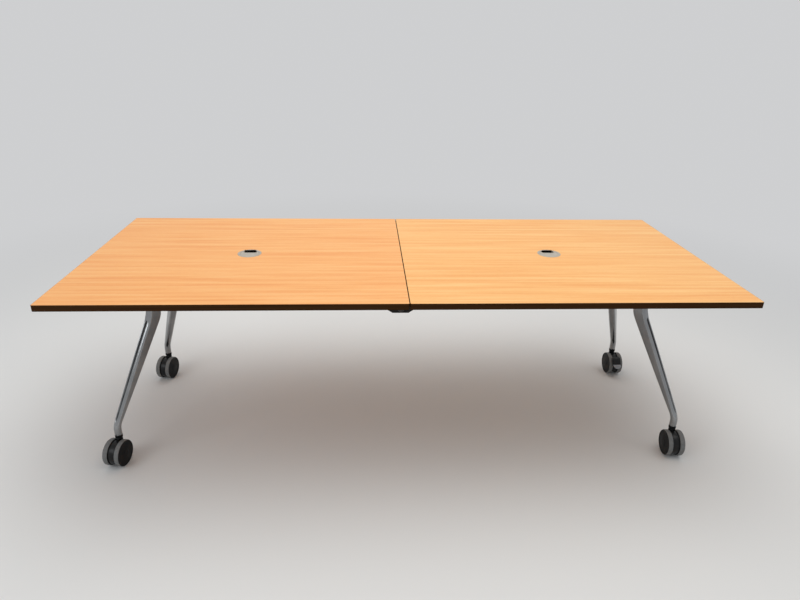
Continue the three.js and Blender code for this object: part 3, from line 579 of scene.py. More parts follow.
class Finish:
    """A material, the slot it is for, and a few short words for the nodes that every finish needs."""

    def __init__(self, name, colour, roughness, metallic=0.0, specular=0.5, slot=None):
        self.slot = slot
        self.material = bpy.data.materials.new(name)
        self.material.use_nodes = True
        self.tree = self.material.node_tree
        self.shader = self.tree.nodes["Principled BSDF"]
        fill(self.shader, {"Base Color": (*colour, 1), "Roughness": roughness, "Metallic": metallic,
                           "Specular IOR Level": specular})
        self.coordinates = add(self.tree, "TexCoord", {}).outputs["Object"]

    def noise(self, per_metre, detail=4.0, roughness=0.55, distortion=0.0):
        """Noise over the object's own coordinates, with a number of blotches per metre for each axis."""
        mapping = add(self.tree, "Mapping", {"Vector": self.coordinates, "Scale": per_metre})
        noise = add(self.tree, "TexNoise", {
            "Vector": mapping.outputs["Vector"], "Scale": 1.0, "Detail": detail, "Roughness": roughness,
            "Distortion": distortion,
        })
        return noise.outputs["Fac"]

    def mark(self):
        """The values that a piece carries on its own points."""
        return add(self.tree, "Attribute", {}, attribute_name="mark").outputs["Fac"]

    def ramp(self, source, stops):
        """Colours along a value: stops are (place, colour)."""
        ramp = add(self.tree, "ValToRGB", {"Fac": source})
        elements = ramp.color_ramp.elements
        while len(elements) < len(stops):
            elements.new(0.5)
        for element, (place, colour) in zip(elements, stops):
            element.position = place
            element.color = (*colour, 1)
        return ramp.outputs["Color"]

    def blend(self, share, first, second, mode="MIX"):
        """Two colours mixed by a share. Each is a colour or a node's output; the share may be a number."""
        values = [(*value, 1) if isinstance(value, tuple) else value for value in (share, first, second)]
        mix = add(self.tree, "Mix", dict(zip(MIX_COLOUR_INPUTS, values)), data_type="RGBA", blend_type=mode)
        return mix.outputs[MIX_COLOUR_OUTPUT]

    def spread(self, source, low, high):
        """Noise, most of which lies between a quarter and three quarters, moved to low..high."""
        limits = {"From Min": 0.25, "From Max": 0.75, "To Min": low, "To Max": high}
        return add(self.tree, "MapRange", {"Value": source, **limits}).outputs["Result"]

    def colour(self, source):
        fill(self.shader, {"Base Color": source})

    def rough(self, source):
        fill(self.shader, {"Roughness": source})

    def bump(self, source, depth, strength):
        """Relief of the given depth in metres."""
        bump = add(self.tree, "Bump", {"Height": source, "Distance": depth, "Strength": strength})
        fill(self.shader, {"Normal": bump.outputs["Normal"]})


def beech_laminate(name, pale, deep, shift):
    """Beech print under a satin laminate: long soft streaks and finer lines along X, broad warm bands and
    short flecks. shift makes one half's pattern differ from the other's."""
    finish = Finish(name, pale, roughness=0.38, specular=0.32, slot="beech_laminate")
    streaks = finish.noise((1.9, 44.0 + shift, 44.0), detail=4.0, roughness=0.6, distortion=0.1)
    lines = finish.noise((1.3, 150.0 + shift, 150.0), detail=3.0, roughness=0.6, distortion=0.1)
    bands = finish.noise((0.35, 6.5 + shift * 0.2, 6.5), detail=3.0, roughness=0.5, distortion=0.4)
    flecks = finish.noise((55.0, 620.0, 620.0), detail=1.0, roughness=0.4)
    white = (1.0, 1.0, 1.0)
    base = finish.ramp(streaks, [(0.38, deep), (0.49, pale), (0.60, tinted(pale, 1.02, 1.13, 1.27))])
    warm = tinted(pale, 0.97, 0.89, 0.78)
    banded = finish.blend(finish.spread(bands, 0.0, 0.45), base, warm)
    dark_lines = finish.ramp(lines, [(0.36, (0.94, 0.79, 0.64)), (0.54, white)])
    lined = finish.blend(0.6, banded, dark_lines, "MULTIPLY")
    dots = finish.ramp(flecks, [(0.30, (0.90, 0.78, 0.68)), (0.40, white)])
    finish.colour(finish.blend(0.45, lined, dots, "MULTIPLY"))
    finish.rough(finish.spread(finish.noise((30, 260, 260), detail=2.0), 0.32, 0.42))
    finish.bump(flecks, depth=0.00005, strength=0.35)
    return finish


def edge_band_finish():
    """Dark brown plastic edging whose colour is made darker still as painted shade, with a faint lengthways
    streak and a hammered satin.
    """
    # The base and streak colours are the edging's own brown, darkened further as painted shade.
    finish = Finish("edge_band_brown_and_painted_shade", (0.043, 0.018, 0.006), roughness=0.5, specular=0.03,
                    slot="edge_band")
    streaks = finish.noise((3.0, 3.0, 420.0), detail=4.0)
    finish.colour(finish.ramp(streaks, [(0.3, (0.033, 0.0135, 0.0042)), (0.7, (0.054, 0.023, 0.008))]))
    finish.rough(finish.spread(finish.noise((300, 300, 300)), 0.40, 0.55))
    finish.bump(finish.noise((900, 900, 900), detail=2.0), depth=0.00006, strength=0.4)
    return finish


def cast_aluminium():
    """Polished casting: metal with slow unevenness from the polishing wheel and faint lines down the leg,
    and darker and rougher in the groove."""
    finish = Finish("polished_aluminium", (0.29, 0.298, 0.305), roughness=0.15, metallic=1.0,
                    slot="cast_aluminium")
    clouds = finish.noise((14, 14, 9), detail=4.0)
    lines = finish.noise((700, 700, 25), detail=2.0)
    groove = finish.mark()
    polished = finish.ramp(clouds, [(0.3, (0.25, 0.257, 0.263)), (0.7, (0.33, 0.338, 0.345))])
    finish.colour(finish.blend(groove, polished, (0.08, 0.082, 0.085)))
    sheen = finish.blend(0.35, finish.spread(clouds, 0.10, 0.19), finish.spread(lines, 0.09, 0.24))
    finish.rough(finish.blend(groove, sheen, (0.5, 0.5, 0.5)))
    finish.bump(lines, depth=0.00002, strength=0.3)
    return finish


def black_plastic(name, colour, roughness, specular):
    """Moulded plastic with a fine spark grain, paler and duller where it is worn."""
    finish = Finish(name, colour, roughness, specular=specular, slot="black_plastic")
    grain = finish.noise((1600, 1600, 1600), detail=2.0)
    worn = finish.noise((60, 60, 60), detail=5.0)
    finish.colour(finish.ramp(worn, [(0.35, colour), (0.8, toned(colour, 1.5))]))
    finish.rough(finish.spread(worn, roughness - 0.06, roughness + 0.1))
    finish.bump(grain, depth=0.00004, strength=0.35)
    return finish


def grey_plastic(name, colour):
    """Grey moulding whose tone wanders a tenth either way, with a fine grain."""
    finish = Finish(name, colour, roughness=0.45, specular=0.4, slot="grey_plastic")
    tone = finish.noise((40, 40, 40), detail=3.0)
    finish.colour(finish.ramp(tone, [(0.3, toned(colour, 0.905)), (0.7, toned(colour, 1.095))]))
    finish.rough(finish.spread(tone, 0.4, 0.52))
    finish.bump(finish.noise((1800, 1800, 1800), detail=2.0), depth=0.00004, strength=0.3)
    return finish


def tyre_grey():
    """Soft grey tread with dust rubbed into it."""
    finish = Finish("grey_tread", (0.150, 0.154, 0.154), roughness=0.6, specular=0.3, slot="grey_tyre")
    dust = finish.noise((90, 90, 90), detail=6.0, roughness=0.65)
    finish.colour(finish.ramp(dust, [(0.3, (0.120, 0.123, 0.123)), (0.72, (0.185, 0.186, 0.183))]))
    finish.rough(finish.spread(dust, 0.5, 0.72))
    finish.bump(dust, depth=0.00012, strength=0.3)
    return finish


def black_steel():
    """Powder-coated steel: near black with an orange-peel surface."""
    finish = Finish("black_powder_coat", (0.008, 0.008, 0.0085), roughness=0.42, specular=0.2,
                    slot="black_steel")
    peel = finish.noise((420, 420, 420), detail=2.0)
    tone = finish.noise((12, 12, 12), detail=4.0)
    finish.colour(finish.ramp(tone, [(0.3, (0.006, 0.006, 0.0064)), (0.75, (0.011, 0.011, 0.0115))]))
    finish.rough(finish.spread(peel, 0.36, 0.5))
    finish.bump(peel, depth=0.00012, strength=0.3)
    return finish


def bright_steel():
    """Zinc-plated steel, turned: fine rings round the shaft show as streaks in the gloss."""
    finish = Finish("zinc_plated_steel", (0.52, 0.53, 0.54), roughness=0.3, metallic=1.0,
                    slot="bright_steel")
    turned = finish.noise((60, 900, 60), detail=2.0)
    clouds = finish.noise((40, 40, 40), detail=4.0)
    finish.colour(finish.ramp(clouds, [(0.3, (0.46, 0.47, 0.48)), (0.7, (0.58, 0.585, 0.59))]))
    finish.rough(finish.spread(turned, 0.24, 0.4))
    return finish


BEECH = {
    -1: beech_laminate("beech_laminate_left", (0.80, 0.390, 0.131), (0.75, 0.327, 0.098), shift=0.0),
    1: beech_laminate("beech_laminate_right", (0.81, 0.432, 0.149), (0.77, 0.370, 0.114), shift=5.0),
}
EDGE = edge_band_finish()
ALUMINIUM = cast_aluminium()
HOOD_BLACK = black_plastic("hood_black", (0.005, 0.0053, 0.0057), roughness=0.3, specular=0.24)
DISC_BLACK = black_plastic("disc_black", (0.003, 0.0032, 0.0035), roughness=0.45, specular=0.14)
BRUSH_BLACK = black_plastic("brush_black", (0.003, 0.003, 0.003), roughness=0.75, specular=0.06)
GREY = grey_plastic("warm_grey_plastic", (0.365, 0.335, 0.285))
PEDAL_GREY = grey_plastic("cool_grey_plastic", (0.25, 0.262, 0.285))
KNOB_GREY = grey_plastic("dark_grey_plastic", (0.035, 0.035, 0.036))
TREAD = tyre_grey()
BLACK = black_steel()
ZINC = bright_steel()


# Worktop

def finish_boards_and_rails():
    """These solids have the right shape, so they stay and only their materials change."""
    for side in (-1, 1):
        for node, finish in (("board", BEECH[side]), ("front_rail", BLACK), ("rear_rail", BLACK)):
            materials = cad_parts[f"{side_name(side)}_{node}"].data.materials
            materials.clear()
            materials.append(finish.material)


def edge_band(side):
    """A section is carried round the half's outline: path - normal * inset. The dark band comes up to the
    top as a thin line, and the laminate runs over the rest of it as a lip."""
    name = side_name(side)
    low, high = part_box(f"{name}_edge_band")
    path = distinct(rounded_rectangle(low, high, CORNER_RADIUS, steps=8))
    normal = outward(path)
    lip_z = TOP_Z - LAMINATE_LIP

    def carried(corners):
        section = closed(fillet(corners, steps=5))
        flat = path[None] - normal[None] * section[:, :1, None]
        height = np.broadcast_to(section[:, 1, None], flat.shape[:2])
        return facing_z(flat[..., 0], flat[..., 1], height), True

    band = carried([
        (0, UNDERSIDE_Z, BAND_EDGE), (0, TOP_Z, BAND_EDGE), (DARK_LINE, TOP_Z, 0), (DARK_LINE, lip_z, 0),
        (BAND_THICKNESS, lip_z, 0), (BAND_THICKNESS, UNDERSIDE_Z, 0),
    ])
    lip = carried([
        (DARK_LINE, lip_z, 0), (DARK_LINE, TOP_Z, 0), (BAND_THICKNESS, TOP_Z, 0), (BAND_THICKNESS, lip_z, 0),
    ])
    body = f"{name}_half"
    piece(f"{name}_band", [band], EDGE, body, f"{name}_edge_band", sharp=50)
    piece(f"{name}_laminate_lip", [lip], BEECH[side], body, sharp=50)


def grommet_liner(side):
    """A flanged sleeve turned about its axis, with a ledge in its bore that the cap lies on."""
    name = side_name(side)
    ledge = -CAP_THICKNESS - FIT
    ledge_foot = ledge - CAP_LEDGE_THICKNESS
    ledge_bore = LINER_BORE - CAP_LEDGE
    section = fillet([
        (LINER_BORE, LINER_RISE, LINER_BORE_EDGE), (LINER_RADIUS, LINER_RISE, LINER_FLANGE_EDGE),
        (LINER_RADIUS, -LINER_UNDERCUT, 0), (LINER_STEP_RADIUS, -LINER_UNDERCUT, 0),
        (LINER_STEP_RADIUS, -LINER_STEP_DEPTH, 0), (LINER_SLEEVE_RADIUS, -LINER_SLEEVE_TOP, 0),
        (LINER_SLEEVE_RADIUS, -LINER_DEPTH, LINER_EDGE), (LINER_BORE, -LINER_DEPTH, LINER_EDGE),
        (LINER_BORE, ledge_foot, 0), (ledge_bore, ledge_foot, LINER_EDGE), (ledge_bore, ledge, LINER_EDGE),
        (LINER_BORE, ledge, 0),
    ], steps=5)
    liner = revolve(closed(section), (side * GROMMET_X, 0, TOP_Z), Z_AXIS, LARGE_ROUND)
    body = f"{name}_half"
    piece(f"{name}_liner", [liner], GREY, body, f"{name}_grommet_liner", sharp=40)


def grommet_cap(side):
    """A disc's outline with the cable slot let into its rear, pushed up to stand a little proud."""
    name = side_name(side)
    reach = math.sqrt(CAP_RADIUS ** 2 - SLOT_HALF_WIDTH ** 2)
    rim_start = math.atan2(reach, -SLOT_HALF_WIDTH)
    rim_end = math.atan2(reach, SLOT_HALF_WIDTH) + 2 * math.pi
    rim = arc((0, 0), CAP_RADIUS, rim_start, rim_end, steps=90)
    slot = fillet([
        (SLOT_HALF_WIDTH, reach, 0), (SLOT_HALF_WIDTH, SLOT_FRONT_Y, SLOT_CORNER),
        (-SLOT_HALF_WIDTH, SLOT_FRONT_Y, SLOT_CORNER), (-SLOT_HALF_WIDTH, reach, 0),
    ], steps=8)
    outline = np.vstack([rim, slot]) + np.array([[side * GROMMET_X, 0]])
    walls, ends = prism(outline, TOP_Z - CAP_THICKNESS, TOP_Z + CAP_PROUD, CAP_EDGE, facing_z)
    body = f"{name}_cap"
    piece(f"{name}_cap", [walls], GREY, body, f"{name}_grommet_cap", polygons=ends)


def slot_brush(side):
    """Bristles in the cap's cable slot, each a thin four-sided bar along s from 0 to 1: x = root + lean s^2,
    y = rim + reach s, z = root + rise s^2. Most lie across the slot to its front edge. The last ones stand
    up at the rear rim, higher towards the slot's ends."""
    name = side_name(side)
    random = np.random.default_rng(BRUSH_SEED + side)
    count = BRISTLE_COUNT + STANDING_COUNT
    standing = np.arange(count) >= BRISTLE_COUNT
    across = random.uniform(-BRUSH_HALF_WIDTH, BRUSH_HALF_WIDTH, count)
    rim = np.sqrt((CAP_RADIUS - BRUSH_RIM_INSET) ** 2 - across ** 2)
    root = TOP_Z - random.uniform(*BRISTLE_ROOTS, count)
    lying_rise = random.normal(BRISTLE_RISE, BRISTLE_RISE_SPREAD, count)
    crest = TOP_Z + CREST_RISE + CREST_END_RISE * (across / BRUSH_HALF_WIDTH) ** 2
    rise = np.where(standing, crest - root + random.normal(0, CREST_SPREAD, count), lying_rise)
    lying_reach = SLOT_FRONT_Y - BRUSH_OVERLAP - rim
    reach = np.where(standing, random.uniform(*STANDING_REACH, count), lying_reach)
    lean = random.normal(0, BRISTLE_LEAN, count)
    share = np.linspace(0, 1, BRISTLE_RINGS)[:, None]
    x = side * GROMMET_X + across + lean * share ** 2
    spine = np.stack([x, rim + reach * share, root + rise * share ** 2], -1)
    corner = np.array([[-1, -1, -1], [1, -1, -1], [1, 1, 1], [-1, 1, 1]]) * BRISTLE_WIDTH / 2
    bars = spine[:, :, None, :] + corner
    grids = [(bars[:, index], True) for index in range(count)]
    ends = [*bars[0], *bars[-1]]
    piece(f"{name}_slot_brush", grids, BRUSH_BLACK, f"{name}_cap", polygons=ends)


def screw_head(x, y, z):
    """A pan head under the rail's web: a flat dome with a sunk socket, turned about Z."""
    profile = fillet([
        (0, -SOCKET_FLOOR, 0), (SOCKET_RADIUS, -SOCKET_FLOOR, 0),
        (SOCKET_RADIUS, -SCREW_CROWN, SCREW_CROWN_EDGE),
        (SCREW_SHOULDER_RADIUS, -SCREW_SHOULDER, SCREW_SHOULDER_EDGE), (SCREW_RADIUS, 0, 0), (0, 0, 0),
    ], steps=4)
    return revolve(profile, (x, y, z), Z_AXIS, segments=20)


def rail_screws(side):
    """Screw heads at even steps along both rails of a half."""
    name = side_name(side)
    for place in ("front", "rear"):
        y = middle_of(f"{name}_{place}_rail")[1]
        stations = side * np.linspace(SCREW_FIRST_X, SCREW_LAST_X, SCREW_COUNT)
        heads = [screw_head(x, y, UNDERSIDE_Z - RAIL_WALL) for x in stations]
        piece(f"{name}_{place}_rail_screws", heads, ZINC, f"{name}_half")


# Legs

def smooth(value):
    """Zero below 0, one above 1, and 3 v^2 - 2 v^3 between."""
    value = np.clip(value, 0, 1)
    return value * value * (3 - 2 * value)


def soft_ramp(below, blend):
    """Zero above a bend, one for one below it, with the parabola (below + blend)^2 / 4 blend through it."""
    bend = (below + blend) ** 2 / (4 * blend)
    return np.where(below <= -blend, 0, np.where(below >= blend, below, bend))


def leg_sizes(z):
    """Depth, thickness and corner radius at each height. They change evenly from the head to the knee, and
    then taper to a round foot."""
    rise = np.clip((z - KNEE_Z) / (PIVOT_Z - KNEE_Z), 0, 1)
    share = np.clip((KNEE_Z - z) / (KNEE_Z - ANKLE_Z), 0, 1)
    taper = share ** LEG_TAPER_POWER
    depth = KNEE_DEPTH + (LEG_HEAD_DEPTH - KNEE_DEPTH) * rise + (FOOT_DIAMETER - KNEE_DEPTH) * taper
    thickness = KNEE_THICKNESS + (LEG_HEAD_THICKNESS - KNEE_THICKNESS) * rise
    thickness = thickness + (FOOT_DIAMETER - KNEE_THICKNESS) * share
    corner = KNEE_CORNER + (FOOT_DIAMETER / 2 - FIT - KNEE_CORNER) * taper
    return depth, thickness, corner


def leg_section(z):
    """Level sections for all heights at once: a rounded oblong, less a channel in its outer edge whose depth
    eases in over its lip, plus a bead that stands up beside the channel as a bell curve."""
    depth, thickness, corner = (size[:, None] for size in leg_sizes(z))
    quarter = np.linspace(0, math.pi / 2, LEG_CORNER_POINTS)[None, :]
    out_far = depth / 2 - corner + corner * np.sin(quarter)
    across = thickness / 2 - corner + corner * np.cos(quarter)
    flat = np.linspace(1, -1, LEG_EDGE_POINTS)[None, 1:-1] * (thickness / 2 - corner)
    flat_out = np.broadcast_to(depth / 2, flat.shape)
    outs = [out_far, flat_out, out_far[:, ::-1], -out_far, -flat_out, -out_far[:, ::-1]]
    sides = [across, flat, -across[:, ::-1], -across, -flat, across[:, ::-1]]
    out, side = np.concatenate(outs, 1), np.concatenate(sides, 1)
    share = np.clip((GROOVE_TOP_Z - z) / (GROOVE_TOP_Z - GROOVE_BOTTOM_Z), 0, 1)[:, None]
    half = (GROOVE_TOP_WIDTH + (GROOVE_BOTTOM_WIDTH - GROOVE_TOP_WIDTH) * share) / 2
    inside = np.minimum(GROOVE_TOP_Z - z, z - GROOVE_BOTTOM_Z)[:, None] / GROOVE_RUNOUT
    fade = np.sqrt(np.clip(inside, 0, 1))
    channel = GROOVE_DEPTH * smooth((half * fade - np.abs(side)) / GROOVE_LIP) * (inside > 0)
    bead = LIP_RISE * np.exp(-((np.abs(side) - half - GROOVE_LIP) / LIP_SPREAD) ** 2) * smooth(inside)
    outer = out > 0
    return out + np.where(outer, bead - channel, 0), side, np.where(outer, channel / GROOVE_DEPTH, 0)


def leg(side, depth_side):
    """Level sections carried down the leg's line: x = pivot + (reach + out) cos - side sin, and y alike,
    where the angle is the splay's. A sleeve on the main shaft heads it. The channel's depth is marked for
    the finish."""
    name = f"{side_name(side)}_{end_name(depth_side)}_leg"
    groove_top, groove_bottom = GROOVE_TOP_Z - GROOVE_RUNOUT, GROOVE_BOTTOM_Z + GROOVE_RUNOUT
    knee = np.linspace(PIVOT_Z - LEG_TOP_DROP, groove_top, KNEE_RINGS)
    shin = np.linspace(groove_top, groove_bottom, SHIN_RINGS)[1:]
    ankle = np.linspace(groove_bottom, FOOT_Z, ANKLE_RINGS)[1:]
    z = np.concatenate([knee, shin, ankle])
    below_knee, below_ankle = soft_ramp(KNEE_Z - z, KNEE_BLEND), soft_ramp(ANKLE_Z - z, ANKLE_BLEND)
    reach = SPLAY * (below_knee - below_ankle) / (KNEE_Z - ANKLE_Z)
    out, across, channel = leg_section(z)
    along = reach[:, None] + out
    x = side * (FRAME_PIVOT_X + along * SPLAY_X - across * SPLAY_Y)
    y = depth_side * (LEG_HEAD_Y + along * SPLAY_Y + across * SPLAY_X)
    blade = np.stack([x, y, np.broadcast_to(z[:, None], x.shape)], -1)
    start = (side * FRAME_PIVOT_X, depth_side * LEG_HEAD_Y - LEG_HEAD_WIDTH / 2, PIVOT_Z)
    head = sleeve(start, MAIN_SHAFT_RADIUS + FIT, LEG_HEAD_RADIUS, LEG_HEAD_WIDTH, LEG_HEAD_EDGE)
    body = f"{side_name(side)}_leg_frame"
    piece(f"{name}_casting", [(blade, True), head], ALUMINIUM, body, name,
          polygons=[blade[0], blade[-1]], sharp=60, marks=channel)


# Linkage

def tapered_link(start, start_radius, end, end_radius):
    """Two circles and the lines that touch both, as one outline."""
    span = np.asarray(end, float) - np.asarray(start, float)
    length = float(np.hypot(*span))
    heading = math.atan2(span[1], span[0])
    lean = math.acos((start_radius - end_radius) / length)
    return np.vstack([
        arc(start, start_radius, heading + lean, heading - lean + 2 * math.pi, steps=36),
        arc(end, end_radius, heading - lean, heading + lean, steps=28),
    ])


def headed_pin(x, z, seat_y):
    """A pin turned about Y with a wide head at its rear end."""
    head = seat_y + FIT
    end = head + PIN_HEAD_THICKNESS
    profile = fillet([
        (0, -end, 0), (ROD_PIN_RADIUS, -end, PIN_END_EDGE), (ROD_PIN_RADIUS, head, 0),
        (PIN_HEAD_RADIUS, head, PIN_SEAT_EDGE), (PIN_HEAD_RADIUS, end, PIN_HEAD_EDGE), (0, end, 0),
    ], steps=4)
    return revolve(profile, (x, 0, z), Y_AXIS, SMALL_ROUND)


def shaft_rings(x, radius):
    """Retaining rings just outside the rails' ears, one at each end of a shaft."""
    starts = (-SHAFT_RING_Y - SHAFT_RING_WIDTH, SHAFT_RING_Y)
    return [sleeve((x, start, PIVOT_Z), radius - FIT, radius + SHAFT_RING_RISE, SHAFT_RING_WIDTH,
                   SHAFT_RING_EDGE, SMALL_ROUND) for start in starts]


def leg_frame_steel(side):
    """The bridge tube with its clevis, and the shaft, pin and rings that it carries."""
    name = side_name(side)
    body = f"{name}_leg_frame"
    pivot_x = side * FRAME_PIVOT_X
    rod_end = (side * (FRAME_PIVOT_X - ROD_OFFSET), ROD_Z)
    tube_end = (pivot_x, -BRIDGE_HALF, PIVOT_Z)
    tube = sleeve(tube_end, MAIN_SHAFT_RADIUS + FIT, BRIDGE_RADIUS, 2 * BRIDGE_HALF)
    link = tapered_link((pivot_x, PIVOT_Z), BRIDGE_RADIUS, rod_end, CLEVIS_RADIUS)
    cheeks, ends = gathered([prism(link, low, low + CLEVIS_CHEEK, SOFT_EDGE, facing_y)
                             for low in (-CLEVIS_INNER_Y - CLEVIS_CHEEK, CLEVIS_INNER_Y)])
    piece(f"{name}_bridge_weldment", [tube, *cheeks], BLACK, body, f"{name}_bridge", polygons=ends)
    shaft = cross_bar(pivot_x, PIVOT_Z, SHAFT_END_Y, MAIN_SHAFT_RADIUS, SHAFT_EDGE)
    piece(f"{name}_pivot_shaft", [shaft], ZINC, body, f"{name}_main_shaft")
    pin = headed_pin(*rod_end, CLEVIS_INNER_Y + CLEVIS_CHEEK)
    piece(f"{name}_rod_clevis_pin", [pin], ZINC, body, f"{name}_clevis_pin")
    piece(f"{name}_shaft_rings", shaft_rings(pivot_x, MAIN_SHAFT_RADIUS), ZINC, body)


def lock_sector(hub_end):
    """The sector on the left rod that the lock's nose runs on: two arcs about the rod's hub end, each a
    quarter turn with an overrun at both ends."""
    reach = math.hypot(hub_end, LOCK_Z - ROD_Z)
    nose = math.atan2(LOCK_Z - ROD_Z, -hub_end)
    first = nose - math.pi / 2 - LOCK_PLATE_OVERRUN
    last = nose + LOCK_PLATE_OVERRUN
    rim = arc((hub_end, ROD_Z), reach + LOCK_PLATE_MARGIN, first, last, steps=40)
    inner = arc((hub_end, ROD_Z), ROD_PIN_RADIUS + 2 * FIT, last, first, steps=24)
    high = -ROD_EYE_WIDTH / 2 + FIT
    return prism(np.vstack([rim, inner]), high - LOCK_PLATE_THICKNESS, high, LOCK_PLATE_EDGE, facing_y)


def push_rod(side):
    """A round bar between two eyes. The left one also carries the lock's sector."""
    name = side_name(side)
    frame_end = side * (FRAME_PIVOT_X - ROD_OFFSET)
    hub_end = side * (HUB_PIVOT_X - ROD_OFFSET)
    inset = side * ROD_BAR_INSET
    rod = bar((frame_end - inset, 0, ROD_Z), (hub_end + inset, 0, ROD_Z), ROD_RADIUS)
    bore = ROD_PIN_RADIUS + FIT
    eyes = [sleeve((x, -ROD_EYE_WIDTH / 2, ROD_Z), bore, ROD_EYE_RADIUS, ROD_EYE_WIDTH)
            for x in (frame_end, hub_end)]
    sectors, ends = gathered([lock_sector(hub_end)] if side < 0 else [])
    piece(f"{name}_rod_and_eyes", [rod, *eyes, *sectors], BLACK, f"{name}_rod",
          f"{name}_push_rod", polygons=ends)


def hub_plates():
    """Both plates share an outline: a narrow foot, sides that slope out, a round head over each shaft."""
    half_top = HUB_PIVOT_X + HUB_HEAD_RADIUS
    foot_z = PLATE_LOW.z
    shoulder = foot_z + (half_top - HUB_BOTTOM_HALF) * HUB_SIDE_SLOPE
    head = PIVOT_Z + HUB_HEAD_RADIUS
    outline = fillet([
        (-HUB_BOTTOM_HALF, foot_z, HUB_FOOT_CORNER), (HUB_BOTTOM_HALF, foot_z, HUB_FOOT_CORNER),
        (half_top, shoulder, HUB_SHOULDER_CORNER), (half_top, head, HUB_HEAD_RADIUS),
        (-half_top, head, HUB_HEAD_RADIUS), (-half_top, shoulder, HUB_SHOULDER_CORNER),
    ], steps=14)
    for place in ("front", "rear"):
        low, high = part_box(f"hub_{place}_plate")
        walls, ends = prism(outline, low.y, high.y, SOFT_EDGE, facing_y)
        piece(f"hub_{place}_side", [walls], BLACK, "hub", f"hub_{place}_plate", polygons=ends)


def hub_shafts_and_pins():
    """On each side of the hub a cross shaft with its rings, and a pin for the push rod."""
    for side in (-1, 1):
        name = side_name(side)
        x = side * HUB_PIVOT_X
        shaft = cross_bar(x, PIVOT_Z, SHAFT_END_Y, HUB_SHAFT_RADIUS, SHAFT_EDGE)
        piece(f"hub_{name}_cross_shaft", [shaft], ZINC, "hub", f"hub_{name}_shaft")
        piece(f"hub_{name}_shaft_rings", shaft_rings(x, HUB_SHAFT_RADIUS), ZINC, "hub")
        pin = headed_pin(side * (HUB_PIVOT_X - ROD_OFFSET), ROD_Z, PLATE_HIGH.y)
        piece(f"hub_{name}_pin", [pin], ZINC, "hub", f"hub_{name}_rod_pin")


def hub_spacer():
    """A bar between the plates, and a six-sided bolt head on each plate at its end."""
    z = PIVOT_Z - SPACER_DROP
    spacer = cross_bar(0, z, PLATE_LOW.y, SPACER_RADIUS)
    piece("hub_spacer_bar", [spacer], ZINC, "hub", "hub_spacer")
    hexagon = arc((0, z), BOLT_RADIUS, 0, 2 * math.pi, steps=7)[:-1]
    bolts, ends = gathered([prism(hexagon, low, low + BOLT_HEIGHT, BOLT_EDGE, facing_y)
                            for low in (-PLATE_HIGH.y - BOLT_HEIGHT, PLATE_HIGH.y)])
    piece("hub_spacer_bolts", bolts, ZINC, "hub", polygons=ends)


def lock_plunger():
    """Nose, neck and a barrel knob with a grip waist, turned about Y."""
    nose = -ROD_EYE_WIDTH / 2 - LOCK_PLATE_THICKNESS - FIT
    seat = -PLATE_HIGH.y - FIT
    neck = seat - KNOB_NECK_LENGTH
    front = neck - KNOB_LENGTH
    middle = (neck + front) / 2
    profile = fillet([
        (0, nose, 0), (LOCK_NOSE_RADIUS, nose, LOCK_NOSE_EDGE), (LOCK_NOSE_RADIUS, seat, 0),
        (KNOB_NECK_RADIUS, seat, KNOB_NECK_EDGE), (KNOB_NECK_RADIUS, neck, KNOB_NECK_EDGE),
        (KNOB_RADIUS, neck, KNOB_BACK_EDGE), (KNOB_RADIUS - KNOB_WAIST, middle, KNOB_WAIST_RADIUS),
        (KNOB_RADIUS, front, KNOB_FRONT_EDGE), (0, front - KNOB_DOME, 0),
    ], steps=6)
    knob = revolve(profile, (0, 0, LOCK_Z), Y_AXIS)
    piece("lock_knob", [knob], KNOB_GREY, "lock", "lock_plunger")


# Castors

def castor(name):
    """Stem, hood, two wheels and, on a braked one, the pedal. They are drawn with the stem at the origin and
    the wheels trailing along +X, then turned to the castor's heading and moved to its corner."""
    side = -1 if "left" in name else 1
    depth_side = -1 if "front" in name else 1
    heading = math.radians(CASTOR_HEADINGS[name])
    cosine, sine = math.cos(heading), math.sin(heading)
    turn = np.array([[cosine, -sine, 0], [sine, cosine, 0], [0, 0, 1]])
    corner = np.array([side * CASTOR_X, depth_side * CASTOR_Y, 0])

    def fitted(part, grids, finish, body, stands_for=None, ends=()):
        placed = [(points @ turn.T + corner, wrap) for points, wrap in grids]
        placed_ends = [points @ turn.T + corner for points in ends]
        piece(f"{name}_{part}", placed, finish, body, stands_for, polygons=placed_ends)

    castor_stem(name, f"{side_name(side)}_leg_frame", fitted)
    castor_hood(name, fitted)
    for index, end in ((1, -1), (2, 1)):
        wheel(name, index, end, fitted)
    if name in BRAKED:
        brake_pedal(name, fitted)


def castor_stem(name, body, fitted):
    """A spigot that the hood turns on, a collar under the leg's foot and a stem in it, turned about Z."""
    foot = FOOT_Z - FIT
    spigot_end = COLLAR_Z - SPIGOT_LENGTH
    stem_end = FOOT_Z + STEM_LENGTH
    profile = fillet([
        (0, spigot_end, 0), (SPIGOT_RADIUS, spigot_end, STEM_EDGE), (SPIGOT_RADIUS, COLLAR_Z, 0),
        (COLLAR_RADIUS, COLLAR_Z, COLLAR_LOW_EDGE), (COLLAR_RADIUS, foot, COLLAR_HIGH_EDGE),
        (STEM_RADIUS, foot, 0), (STEM_RADIUS, stem_end, STEM_EDGE), (0, stem_end, 0),
    ], steps=5)
    stem = revolve(profile, (0, 0, 0), Z_AXIS)
    fitted("stem_and_collar", [stem], DISC_BLACK, body, f"{name}_castor_stem")


